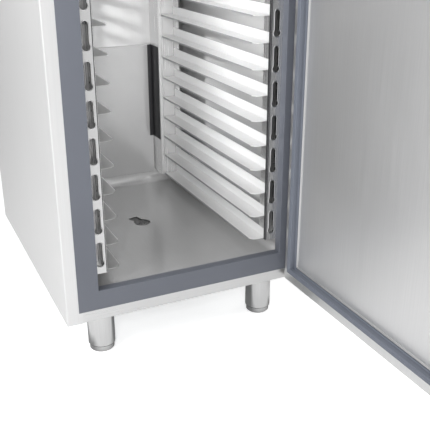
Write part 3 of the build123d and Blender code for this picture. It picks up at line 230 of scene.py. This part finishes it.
def lining(name, wall_tone, painted_dark_floor_tone, wall_gloss, floor_gloss):
    """Inner steel sheet: pale bright walls, and below one height a duller floor with a darker
    tone that is a painted reflection of the dark cavity.
    """
    material, tree, shader = new_material(name)
    shader.inputs["Specular IOR Level"].default_value = 0.25
    height = object_axes(tree, object_coordinates(tree))["Z"]
    band = (FLOOR_TOP - FLOOR_BLEND, FLOOR_TOP + FLOOR_BLEND)
    rise = span(tree, height, *band, 0.0, 1.0)
    tree.links.new(span(tree, rise, 0.0, 1.0, 0.3, 0.6), shader.inputs["Metallic"])
    lines = grain_lines(tree, (GRAIN_ACROSS, GRAIN_ALONG, GRAIN_ALONG))
    stains = soft_stains(tree)
    line_shade = span(tree, lines, *LINE_BAND, 0.97, 1.0)
    stain_shade = span(tree, stains, *STAIN_BAND, -0.05, 0.0)
    shade = combine(tree, "ADD", line_shade, stain_shade)
    # Painted reflection: below FLOOR_TOP the same steel gets a dark tone in place of the dark
    # cavity the floor reflects
    base = shaded(tree, tint(tree, rise, painted_dark_floor_tone, wall_tone), shade)
    tree.links.new(base, shader.inputs["Base Color"])
    gloss = span(tree, height, *band, floor_gloss, wall_gloss)
    spread = span(tree, stains, *STAIN_BAND, -0.03, 0.03)
    tree.links.new(combine(tree, "ADD", gloss, spread), shader.inputs["Roughness"])
    bump(tree, shader, waved(tree, lines, 1.2), 0.1, 0.0001)
    return material


def hemmed(name, painted_top_tone, painted_hem_tone, metal, gloss):
    """Runner steel with its grain along y, with a painted tone of light and shade on its top
    and another on the hem next to the trays.
    """
    material, tree, shader = new_material(name)
    shader.inputs["Metallic"].default_value = metal
    gloss_spread = 0.04
    beside = tree.nodes.new("ShaderNodeMath")
    beside.operation = "ABSOLUTE"
    tree.links.new(object_axes(tree, object_coordinates(tree))["X"], beside.inputs[0])
    away = span(tree, beside.outputs[0], HEM_EDGE, HEM_EDGE + HEM_BLEND, 0.0, 1.0)
    lines = grain_lines(tree, (GRAIN_ACROSS, GRAIN_ALONG, GRAIN_ACROSS))
    line_shade = span(tree, lines, *LINE_BAND, 0.97, 1.0)
    stain_shade = span(tree, soft_stains(tree), *STAIN_BAND, -0.04, 0.0)
    shade = combine(tree, "ADD", line_shade, stain_shade)
    # Painted light and shade: the hem and the top each get their own painted tone
    base = shaded(tree, tint(tree, away, painted_hem_tone, painted_top_tone), shade)
    tree.links.new(base, shader.inputs["Base Color"])
    line_gloss = span(tree, lines, *LINE_BAND, gloss - gloss_spread, gloss + gloss_spread)
    tree.links.new(line_gloss, shader.inputs["Roughness"])
    bump(tree, shader, lines, 0.1, 0.00005)
    return material


def lens(name):
    """Dark glossy display lens with a faint haze."""
    material, tree, shader = new_material(name)
    haze = noise(tree, object_coordinates(tree), 60.0, detail=4.0)
    base = tint(tree, haze, (0.008, 0.008, 0.009), (0.016, 0.016, 0.018))
    tree.links.new(base, shader.inputs["Base Color"])
    tree.links.new(span(tree, haze, *LINE_BAND, 0.06, 0.14), shader.inputs["Roughness"])
    shader.inputs["Coat Weight"].default_value = 0.6
    shader.inputs["Coat Roughness"].default_value = 0.04
    return material


# Materials. Left and right runners and uprights differ: their tones are painted light and
# shade, in place of the reflections in them
side_steel = steel("side_steel", "z", grey(0.80), 0.36, grain=0.025, spread=0.015, metal=0.5)
rail_steel = steel("rail_steel", "x", grey(0.74), 0.3, grain=0.02, spread=0.03)
door_skin_steel = steel("door_skin_steel", "z", grey(0.80), 0.33, grain=0.04)
door_panel_steel = steel(
    "door_panel_steel", "z", (0.92, 0.92, 0.925), 0.42, grain=0.04, metal=0.74
)
# The floor's dark tone is a painted reflection, not a different steel
liner_steel = lining("liner_steel", grey(0.94), grey(0.095), 0.1, 0.5)
cover_steel = steel("cover_steel", "x", grey(0.74), 0.3, grain=0.02, relief=0.0001)
duct_steel = steel(
    "duct_steel", "x", grey(0.84), 0.16, grain=0.006, wave=1.5, spread=0.03, relief=0.00008
)
panel_steel = steel(
    "panel_steel",
    "x",
    grey(0.98),
    0.22,
    grain=0.006,
    wave=1.0,
    spread=0.03,
    metal=0.55,
    relief=0.00008,
)
# Right runners: pale tops as painted light, dark hems as painted shade. Left runners: darker
# tops as painted dark reflection, pale hems as painted highlight
runner_steel = hemmed("runner_steel", grey(0.92), (0.30, 0.30, 0.31), 0.4, 0.34)
painted_reflection_runner_steel = hemmed("painted_reflection_runner_steel", grey(0.46), grey(0.86), 0.6, 0.34)
# Uprights: the right one's darker tone is painted shade and the left one's pale tone is painted
# light, copies of one steel
upright_steel = steel(
    "upright_steel", "z", grey(0.68), 0.24, grain=0.02, spread=0.04, metal=0.85, relief=0.0001
)
column_steel = steel(
    "column_steel", "z", grey(0.98), 0.24, grain=0.015, spread=0.04, metal=0.5, relief=0.0001
)
painted_light_upright_steel = steel(
    "painted_light_upright_steel", "z", grey(0.97), 0.36, grain=0.015, spread=0.04, metal=0.75, relief=0.0001
)
leg_steel = steel(
    "leg_steel", "z", grey(0.74), 0.1, grain=0.03, spread=0.03, metal=1.0, relief=0.0001
)
bright_steel = steel(
    "bright_steel", "z", grey(0.88), 0.1, grain=0.01, spread=0.03, metal=1.0, relief=0.00005
)
drain_steel = steel("drain_steel", "x", grey(0.25), 0.4, grain=0.03)
frame_plastic = plastic("frame_plastic", (0.125, 0.134, 0.158), 0.45)
gasket_rubber = plastic("gasket_rubber", (0.15, 0.165, 0.2), 0.5)
dark_plastic = plastic("dark_plastic", (0.022, 0.022, 0.024), 0.4)
key_plastic = plastic("key_plastic", (0.30, 0.32, 0.34), 0.38)
white_plastic = plastic("white_plastic", (0.72, 0.72, 0.69), 0.4)
foam = plastic("foam", (0.62, 0.52, 0.28), 0.9, grain_scale=300.0, grain_depth=0.0006)
zinc = painted("zinc", (0.52, 0.54, 0.55), 0.42)
enamel = painted("enamel", grey(0.018), 0.3)
fins = steel("fins", "z", (0.72, 0.73, 0.74), 0.3, grain=0.06)
heater_sheath = steel("heater_sheath", "x", (0.34, 0.31, 0.29), 0.35, grain=0.1)
display_lens = lens("display_lens")

finishes = {
    side_steel: ("side_panel_left", "side_panel_right"),
    rail_steel: ("front_rails", "control_panel", "top_cover"),
    zinc: ("back_panel", "base_panel", "roof_panel", "rear_grille", "condenser_shroud"),
    liner_steel: ("inner_liner",),
    cover_steel: ("evaporator_cover",),
    duct_steel: ("air_duct_panel",),
    panel_steel: ("rear_low_panel",),
    foam: ("insulation", "door_core"),
    drain_steel: ("drain_fitting", "drain_strainer"),
    frame_plastic: ("door_frame",),
    upright_steel: ("upright_right",),
    painted_light_upright_steel: ("upright_left",),
    column_steel: ("rear_column_left", "rear_column_right"),
    runner_steel: ("runners_right",),
    painted_reflection_runner_steel: ("runners_left",),
    door_skin_steel: ("door_outer_skin",),
    door_panel_steel: ("door_inner_panel",),
    gasket_rubber: ("door_gasket",),
    bright_steel: (
        "hinge_bracket_bottom",
        "hinge_bracket_top",
        "door_handle",
        "lock_bezel",
        "lock_barrel",
    ),
    white_plastic: ("hinge_bushes", "humidifier"),
    dark_plastic: (
        "control_unit",
        "switch_bezel",
        "main_switch",
        "cable_gland",
        "condenser_fan",
        "fan_motors",
        "evaporator_fan_left",
        "evaporator_fan_right",
    ),
    key_plastic: ("key_set", "key_down", "key_up", "key_stop"),
    display_lens: ("display_window",),
    enamel: ("compressor",),
    fins: ("condenser", "evaporator"),
    heater_sheath: ("heating_element",),
    leg_steel: tuple(name for name in nodes if name.startswith(("leg_", "foot_"))),
}
for material, names in finishes.items():
    for name in names:
        mesh = nodes[name].data
        mesh.materials.clear()
        mesh.materials.append(material)

# Mesh helpers, in millimetres of the shared frame
MM = 0.001
UP = Vector((0.0, 0.0, 1.0))
FORWARD = (0.0, -1.0, 0.0)
BACKWARD = (0.0, 1.0, 0.0)
SIDES = (-1, 1)


def mesh_piece(name, build, material, body="cabinet", sharp=35.0):
    """Piece whose mesh a function fills in, riding on a body."""
    form = bmesh.new()
    build(form)
    bmesh.ops.recalc_face_normals(form, faces=form.faces)
    mesh = bpy.data.meshes.new(name)
    form.to_mesh(mesh)
    form.free()
    mesh.shade_smooth()
    mesh.set_sharp_from_angle(angle=math.radians(sharp))
    mesh.materials.append(material)
    piece = bpy.data.objects.new(name, mesh)
    bpy.context.scene.collection.objects.link(piece)
    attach(piece, body)


def skin(form, loops, start_cap=False, end_cap=False):
    """Closed loops with the same number of points, joined into a skin."""
    rows = [[form.verts.new(Vector(point) * MM) for point in loop] for loop in loops]
    count = len(rows[0])
    for row, following in zip(rows, rows[1:]):
        for start in range(count):
            end = (start + 1) % count
            form.faces.new((row[start], row[end], following[end], following[start]))
    if start_cap:
        form.faces.new(rows[0])
    if end_cap:
        form.faces.new(rows[-1])


def ring(centre, axis, radius, height, sides, hexagon=False):
    """Loop of points round an axis, at a height along it, round or six-sided."""
    axis = Vector(axis)
    across = axis.cross(UP) if abs(axis.z) < 0.9 else Vector((1.0, 0.0, 0.0))
    across.normalize()
    upward = axis.cross(across)
    points = []
    for step in range(sides):
        angle = math.tau * step / sides
        reach = radius
        if hexagon:
            within = (angle % (math.pi / 3)) - math.pi / 6
            reach = radius * math.cos(math.pi / 6) / math.cos(within)
        outward = across * math.cos(angle) + upward * math.sin(angle)
        points.append(Vector(centre) + axis * height + outward * reach)
    return points


# Lips of the keyholes
KEYHOLE_HEAD = 8.7
KEYHOLE_NECK = 6.3
KEYHOLE_HEIGHT = 60.0
KEYHOLE_X = 219.1
KEYHOLE_FIRST = 236.5
KEYHOLE_PITCH = 80.0
KEYHOLE_LEVELS = 15
HEAD_STEPS = 14
NECK_STEPS = 8
UPRIGHT_FACE = -346.5
LIP_PROFILE = (
    (1.8, 0.02),
    (1.3, 0.55),
    (0.5, 0.75),
    (-0.1, 0.45),
    (-0.5, -0.4),
    (-0.6, -2.0),
    (-0.6, -5.5),
)


def keyhole_outline(offset):
    """Outline of a keyhole slot, grown by an offset, from its lowest point."""
    head = KEYHOLE_HEAD + offset
    neck = KEYHOLE_NECK + offset
    joint = math.asin(neck / head)
    points = []
    for step in range(HEAD_STEPS + 1):
        angle = math.pi / 2 - joint - step / HEAD_STEPS * (math.tau - 2 * joint)
        points.append((head * math.cos(angle), KEYHOLE_HEAD + head * math.sin(angle)))
    top = KEYHOLE_HEIGHT - KEYHOLE_NECK
    for step in range(NECK_STEPS + 1):
        angle = math.pi - step / NECK_STEPS * math.pi
        points.append((neck * math.cos(angle), top + neck * math.sin(angle)))
    return points


def keyhole_lips(side):
    """Builder of the raised smooth lips round the keyholes of one upright."""

    def build(form):
        for level in range(KEYHOLE_LEVELS):
            low = KEYHOLE_FIRST + level * KEYHOLE_PITCH
            loops = []
            for offset, forward in LIP_PROFILE:
                y = UPRIGHT_FACE - forward
                outline = keyhole_outline(offset)
                loops.append([(side * KEYHOLE_X + x, y, low + z) for x, z in outline])
            skin(form, loops)

    return build


mesh_piece("keyhole_lips_left", keyhole_lips(-1), bright_steel)
mesh_piece("keyhole_lips_right", keyhole_lips(1), bright_steel)

# Painted shade: black strips on the uprights' inner edges, standing in for the shadow gap
# there, as a section and as heights with the section's inset there
EDGE_SHADE_MIDDLE = 205
EDGE_SHADE_OUTLINE = (
    (203.3, -339.0),
    (203.3, -345.0),
    (204.0, -346.2),
    (205.4, -346.9),
    (206.8, -346.4),
    (206.8, -339.0),
)
EDGE_SHADE_HEIGHTS = ((220.4, 0.4), (221.4, 0.0), (1453.6, 0.0), (1454.6, 0.4))


def edge_shade_strips(form):
    """Black strips on the inner edges of both uprights, a dark piece put where there is only
    shade.
    """
    for side in SIDES:
        loops = []
        for height, inset in EDGE_SHADE_HEIGHTS:
            loop = []
            for x, y in EDGE_SHADE_OUTLINE:
                inward = inset if x < EDGE_SHADE_MIDDLE else -inset
                loop.append((side * (x + inward), y + inset, height))
            loops.append(loop)
        skin(form, loops, start_cap=True, end_cap=True)


# Painted shade: black strips in place of the shadow gap at the uprights' edges
mesh_piece("upright_edge_shade_strips", edge_shade_strips, dark_plastic)

# Painted shade: black strips beside the low rear panel, put where there is only shade, as a
# section and as heights with the section's scale there
SHADE_STRIP_MIDDLE = (157.0, 294.0)
SHADE_STRIP_OUTLINE = (
    (147.0, 295.9),
    (147.0, 295.0),
    (148.4, 294.3),
    (156.9, 294.0),
    (157.9, 293.0),
    (157.9, 238.4),
    (158.5, 236.8),
    (159.2, 236.8),
    (159.2, 300.4),
    (155.4, 300.4),
    (155.2, 295.9),
)
SHADE_STRIP_HEIGHTS = ((330.0, 0.97), (331.2, 1.0), (609.4, 1.0), (610.6, 0.97))


def panel_shade_strips(form):
    """Black strips between the low rear panel and the columns' side walls, a dark piece that
    stands in for the shade in those corners.
    """
    middle_x, middle_y = SHADE_STRIP_MIDDLE
    for side in SIDES:
        loops = []
        for height, shrink in SHADE_STRIP_HEIGHTS:
            loop = []
            for x, y in SHADE_STRIP_OUTLINE:
                x = middle_x + (x - middle_x) * shrink
                y = middle_y + (y - middle_y) * shrink
                loop.append((side * x, y, height))
            loops.append(loop)
        skin(form, loops, start_cap=True, end_cap=True)


# Painted shade: these black strips stand in for the dark shade between the low panel and the
# columns
mesh_piece("low_panel_shade_strips", panel_shade_strips, dark_plastic)

# Dark rings of the legs and dark rivets of the runners, both coloured as painted shade, as
# radius and height along the axis
LEG_X = 214.0
LEG_Y = 296.5
LEG_SHADOW_RING_PROFILE = (
    (32.3, 17.2),
    (32.35, 16.4),
    (31.9, 15.5),
    (31.0, 15.1),
    (30.2, 15.4),
    (29.8, 16.3),
    (29.8, 17.2),
)
RUNNER_TOP = 223.9
RUNNER_PITCH = 60.0
RUNNER_LEVELS = 20
WEB_FACE = 209.05
RIVET_ENDS = (-317.0, 178.0)
RIVET_RISES = (3.9, 10.0)
RIVET_PROFILE = ((2.6, 0.0), (2.5, 0.35), (2.1, 0.5), (1.7, 0.4), (1.5, -0.15))


def leg_shadow_rings(form):
    """Black rings at the mouths of the leg sleeves round the feet, standing in for the shadow
    gap between sleeve and foot.
    """
    for x in (-LEG_X, LEG_X):
        for y in (-LEG_Y, LEG_Y):
            place = (x, y, 0.0)
            skin(form, [ring(place, UP, radius, rise, 48) for radius, rise in LEG_SHADOW_RING_PROFILE])


def web_rivets(form):
    """Pierced rivets at the front and rear ends of every runner's web, coloured dark as painted
    shade for the holes.
    """
    for side in SIDES:
        axis = (-side, 0.0, 0.0)
        for level in range(RUNNER_LEVELS):
            top = RUNNER_TOP + level * RUNNER_PITCH
            for y in RIVET_ENDS:
                for rise in RIVET_RISES:
                    place = (side * WEB_FACE, y, top + rise)
                    loops = [ring(place, axis, out, high, 12) for out, high in RIVET_PROFILE]
                    skin(form, loops, end_cap=True)


# Painted shade: the black leg rings stand in for the shadow gap at the feet
mesh_piece("leg_shadow_rings", leg_shadow_rings, dark_plastic, sharp=60.0)
# Painted shade: the rivets' dark colour stands in for the shade inside the web's holes
mesh_piece("web_rivets", web_rivets, dark_plastic, sharp=60.0)

# Screws
SCREW_PROFILE = (
    (1.0, 0.0),
    (1.0, 0.12),
    (0.97, 0.2),
    (0.9, 0.28),
    (0.86, 0.6),
    (0.7, 0.86),
    (0.52, 1.0),
)
SOCKET_PROFILE = ((0.46, 0.97), (0.44, 0.3))
SCREW_SIDES = 24
HINGE_X = 274.425
PANEL_FACE = -446.8
BACK_FACE = 366.3


def socket_screw(form, place, axis, radius):
    """Domed screw head with a washer edge and a six-sided socket."""
    tall = radius * 0.55
    loops = []
    for out, rise in SCREW_PROFILE:
        loops.append(ring(place, axis, radius * out, tall * rise, SCREW_SIDES))
    for out, rise in SOCKET_PROFILE:
        loops.append(ring(place, axis, radius * out, tall * rise, SCREW_SIDES, hexagon=True))
    skin(form, loops, end_cap=True)


def screws(places, axis, radius):
    """Builder of one screw head at each place."""

    def build(form):
        for place in places:
            socket_screw(form, place, axis, radius)

    return build


def grid(x_values, y, z_values):
    """Places on one face, at every pair of x and z."""
    return [(x, y, z) for x in x_values for z in z_values]


hinge_places = [
    (HINGE_X + step, -370.5, z) for z in (134.6, 1775.4) for step in (-13.0, 13.0)
]
panel_places = grid((-292.0, 292.0), PANEL_FACE, (1812.0, 2032.0))
rear_places = grid((-297.0, 297.0), BACK_FACE, (130.0, 458.0, 786.0, 1114.0, 1442.0, 1770.0))
rear_places += grid((-297.0, 297.0), BACK_FACE, (1812.0, 1922.0, 2032.0))
rear_places += grid((-100.0, 100.0), BACK_FACE, (130.0, 1780.0, 1810.0, 2036.0))
duct_places = grid((-141.0, 141.0), 270.0, (846.0, 1175.0, 1504.0))

mesh_piece("hinge_screws", screws(hinge_places, FORWARD, 5.6), bright_steel)
mesh_piece(
    "control_panel_screws", screws(panel_places, FORWARD, 4.2), bright_steel
)
mesh_piece("rear_screws", screws(rear_places, BACKWARD, 5.0), bright_steel)
mesh_piece("duct_screws", screws(duct_places, FORWARD, 4.2), bright_steel)

# Display and keys
DISPLAY = (0.0, 1948.5)
DISPLAY_HALF_WIDTH = 46.0
DISPLAY_HALF_HEIGHT = 20.0
DISPLAY_CORNER = 3.5
DISPLAY_FRAME_PROFILE = (
    (3.4, PANEL_FACE),
    (3.2, -447.9),
    (2.2, -448.7),
    (0.6, -448.9),
    (-0.6, -448.3),
    (-0.9, -447.6),
)
CORNER_STEPS = 6
DIGIT_PLACES = (-25.0, 0.0, 25.0)
DIGIT_HALF_WIDTH = 7.0
DIGIT_HALF_HEIGHT = 12.0
DIGIT_GAP = 1.6
KEY_Z = 1876.5
KEY_X = {"key_set": -51.0, "key_down": -17.0, "key_up": 17.0, "key_stop": 51.0}
STOP_RADIUS = 3.2
STOP_SIDES = 10


def rounded_rectangle(half_width, half_height, radius, centre_x, centre_z, y):
    """Loop round a rectangle with rounded corners, facing the front."""
    points = []
    for corner, (right, top) in enumerate(((1, 1), (-1, 1), (-1, -1), (1, -1))):
        for step in range(CORNER_STEPS + 1):
            angle = math.pi / 2 * (corner + step / CORNER_STEPS)
            x = centre_x + right * (half_width - radius) + radius * math.cos(angle)
            z = centre_z + top * (half_height - radius) + radius * math.sin(angle)
            points.append((x, y, z))
    return points


def display_frame(form):
    """Raised frame round the display."""
    loops = []
    for grow, y in DISPLAY_FRAME_PROFILE:
        half_width = DISPLAY_HALF_WIDTH + grow
        half_height = DISPLAY_HALF_HEIGHT + grow
        radius = DISPLAY_CORNER + grow
        loops.append(rounded_rectangle(half_width, half_height, radius, *DISPLAY, y))
    skin(form, loops)


def bar(form, start, end, half_width, low_y, high_y):
    """Raised six-sided bar between two points of the front face."""
    start = Vector(start)
    end = Vector(end)
    middle = (start + end) / 2
    along = (end - start).normalized()
    across = Vector((-along.y, along.x))
    outline = []
    for point, way in ((start, -1), (end, 1)):
        outline.append(point - way * across * half_width)
        outline.append(point + way * along * half_width)
        outline.append(point + way * across * half_width)
    loops = []
    for grow, y in ((1.0, low_y), (1.0, (low_y + high_y) / 2), (0.86, high_y)):
        grown = [middle + (point - middle) * grow for point in outline]
        loops.append([(point.x, y, point.y) for point in grown])
    skin(form, loops, end_cap=True)


def unlit_digits(form):
    """Unlit bars of a three-figure display."""
    for figure in DIGIT_PLACES:
        points = {}
        for row, high in enumerate((-1, 0, 1)):
            for column, right in enumerate(SIDES):
                x = DISPLAY[0] + figure + right * DIGIT_HALF_WIDTH
                points[row, column] = (x, DISPLAY[1] + high * DIGIT_HALF_HEIGHT)
        spans = [((row, 0), (row, 1)) for row in range(3)]
        spans += [((row, column), (row + 1, column)) for row in range(2) for column in range(2)]
        for first, second in spans:
            start = Vector(points[first])
            end = Vector(points[second])
            gap = (end - start).normalized() * DIGIT_GAP
            bar(form, start + gap, end - gap, 1.2, -447.8, -448.0)


def key_mark(points):
    """Builder of a key's raised mark, out of straight strokes round a loop of points."""

    def build(form):
        for start, end in zip(points, points[1:] + points[:1]):
            bar(form, start, end, 0.5, -449.25, -449.7)

    return build


stop_angles = [math.tau * step / STOP_SIDES for step in range(STOP_SIDES)]
key_shapes = {
    "key_set": [(-3.0, -3.0), (3.0, -3.0), (3.0, 3.0), (-3.0, 3.0)],
    "key_down": [(-3.4, 2.2), (3.4, 2.2), (0.0, -3.2)],
    "key_up": [(-3.4, -2.2), (3.4, -2.2), (0.0, 3.2)],
    "key_stop": [(STOP_RADIUS * math.cos(a), STOP_RADIUS * math.sin(a)) for a in stop_angles],
}

mesh_piece("display_frame", display_frame, dark_plastic)
unlit_plastic = plastic("unlit_digit", (0.05, 0.045, 0.045), 0.3)
mesh_piece("display_digits", unlit_digits, unlit_plastic)
mark_white = plastic("mark_white", (0.78, 0.78, 0.76), 0.45)
for key, shape in key_shapes.items():
    placed = [(KEY_X[key] + x, KEY_Z + z) for x, z in shape]
    mesh_piece(key + "_mark", key_mark(placed), mark_white, body=key)

# Camera, from the solved view of the photograph
CAMERA_PLACE = (-0.62163, -1.78492, 0.96822)
CAMERA_PITCH = 22.365
CAMERA_YAW = 25.538
CAMERA_LENS = 60.98
SENSOR_WIDTH = 36.0

camera_data = bpy.data.cameras.new("camera")
camera_data.lens = CAMERA_LENS
camera_data.sensor_width = SENSOR_WIDTH
camera = bpy.data.objects.new("camera", camera_data)
camera.location = CAMERA_PLACE
camera.rotation_euler = (math.radians(90.0 - CAMERA_PITCH), 0.0, -math.radians(CAMERA_YAW))
bpy.context.scene.collection.objects.link(camera)
bpy.context.scene.camera = camera
bpy.context.scene.view_settings.view_transform = "Standard"

# World, lamps and floor
WORLD_FILL = 0.5
FLOOR_HALF_SIZE = 40.0
FOOTPRINT = (("X", 0.30), ("Y", 0.33))
FOOTPRINT_BLEND = 0.02


def make_world(fill):
    """World that is white to camera, glossy and transmission rays, and plain to the rest."""
    world = bpy.data.worlds.new("studio")
    world.use_nodes = True
    tree = world.node_tree
    background = tree.nodes["Background"]
    path = tree.nodes.new("ShaderNodeLightPath")
    seen = combine(tree, "ADD", path.outputs["Is Camera Ray"], path.outputs["Is Glossy Ray"])
    seen = combine(tree, "ADD", seen, path.outputs["Is Transmission Ray"])
    background.inputs["Color"].default_value = (1.0, 1.0, 1.0, 1.0)
    tree.links.new(span(tree, seen, 0.0, 1.0, fill, 1.0), background.inputs["Strength"])
    bpy.context.scene.world = world


def lamp(name, place, target, size, power, spread=180.0):
    """Area lamp of a width and height that faces a point and makes no highlight."""
    data = bpy.data.lights.new(name, "AREA")
    data.shape = "RECTANGLE"
    data.size, data.size_y = size
    data.energy = power
    data.spread = math.radians(spread)
    lamp_object = bpy.data.objects.new(name, data)
    lamp_object.visible_camera = False
    lamp_object.visible_glossy = False
    lamp_object.location = place
    aim = Vector(target) - Vector(place)
    lamp_object.rotation_euler = aim.to_track_quat("-Z", "Y").to_euler()
    bpy.context.scene.collection.objects.link(lamp_object)


def make_floor(half_size):
    """Pale floor, white to the camera, with a painted shadow under the object that only glossy
    rays see.
    """
    plane = bpy.data.meshes.new("floor")
    corners = [(-half_size, -half_size, 0.0), (half_size, -half_size, 0.0)]
    corners += [(half_size, half_size, 0.0), (-half_size, half_size, 0.0)]
    plane.from_pydata(corners, [], [(0, 1, 2, 3)])
    floor = bpy.data.objects.new("floor", plane)
    bpy.context.scene.collection.objects.link(floor)
    material, tree, shader = new_material("floor_material")
    coordinates = object_coordinates(tree)
    speckle = span(tree, noise(tree, coordinates, 40.0), 0.0, 1.0, 0.9, 0.93)
    axes = object_axes(tree, coordinates)
    inside = None
    for axis, reach in FOOTPRINT:
        off = combine(tree, "ABSOLUTE", axes[axis], 0.0)
        beneath = span(tree, off, reach - FOOTPRINT_BLEND, reach + FOOTPRINT_BLEND, 1.0, 0.0)
        inside = beneath if inside is None else combine(tree, "MULTIPLY", inside, beneath)
    shader.inputs["Roughness"].default_value = 0.8
    shader.inputs["Specular IOR Level"].default_value = 0.0
    shader.inputs["Emission Color"].default_value = (1.0, 1.0, 1.0, 1.0)
    path = tree.nodes.new("ShaderNodeLightPath")
    # Painted shadow: inside the object's footprint, glossy rays see a darker floor
    painted_shadow_mask = combine(tree, "MULTIPLY", inside, path.outputs["Is Glossy Ray"])
    pale = combine(tree, "SUBTRACT", speckle, combine(tree, "MULTIPLY", painted_shadow_mask, 0.55))
    tree.links.new(pale, shader.inputs["Base Color"])
    glow = span(tree, path.outputs["Is Camera Ray"], 0.0, 1.0, 0.0, 0.5)
    gloss = span(tree, path.outputs["Is Glossy Ray"], 0.0, 1.0, 0.0, 0.02)
    tree.links.new(combine(tree, "ADD", glow, gloss), shader.inputs["Emission Strength"])
    plane.materials.append(material)


make_world(WORLD_FILL)
lamp("key_lamp", (-1.15, -0.75, 1.0), (-0.31, -0.2, 0.9), (0.6, 0.6), 12.0)
lamp("doorway_lamp", (-1.1, -2.8, 1.6), (0.15, 0.1, 0.6), (0.8, 0.8), 40.0)
lamp("tray_lamp", (-0.15, -0.33, 0.88), (0.2, -0.1, 0.88), (0.06, 1.05), 2.1, spread=95.0)
lamp("right_lamp", (3.2, 0.3, 1.8), (0.3, -0.1, 1.4), (0.8, 0.8), 6.0, spread=70.0)
lamp("rear_lamp", (0.4, 3.5, 1.8), (0.0, 0.3, 1.4), (0.8, 0.8), 4.0, spread=70.0)
lamp("cavity_lamp", (0.0, -0.05, 1.50), (0.0, -0.05, 0.2), (0.28, 0.4), 2.2)
make_floor(FLOOR_HALF_SIZE)
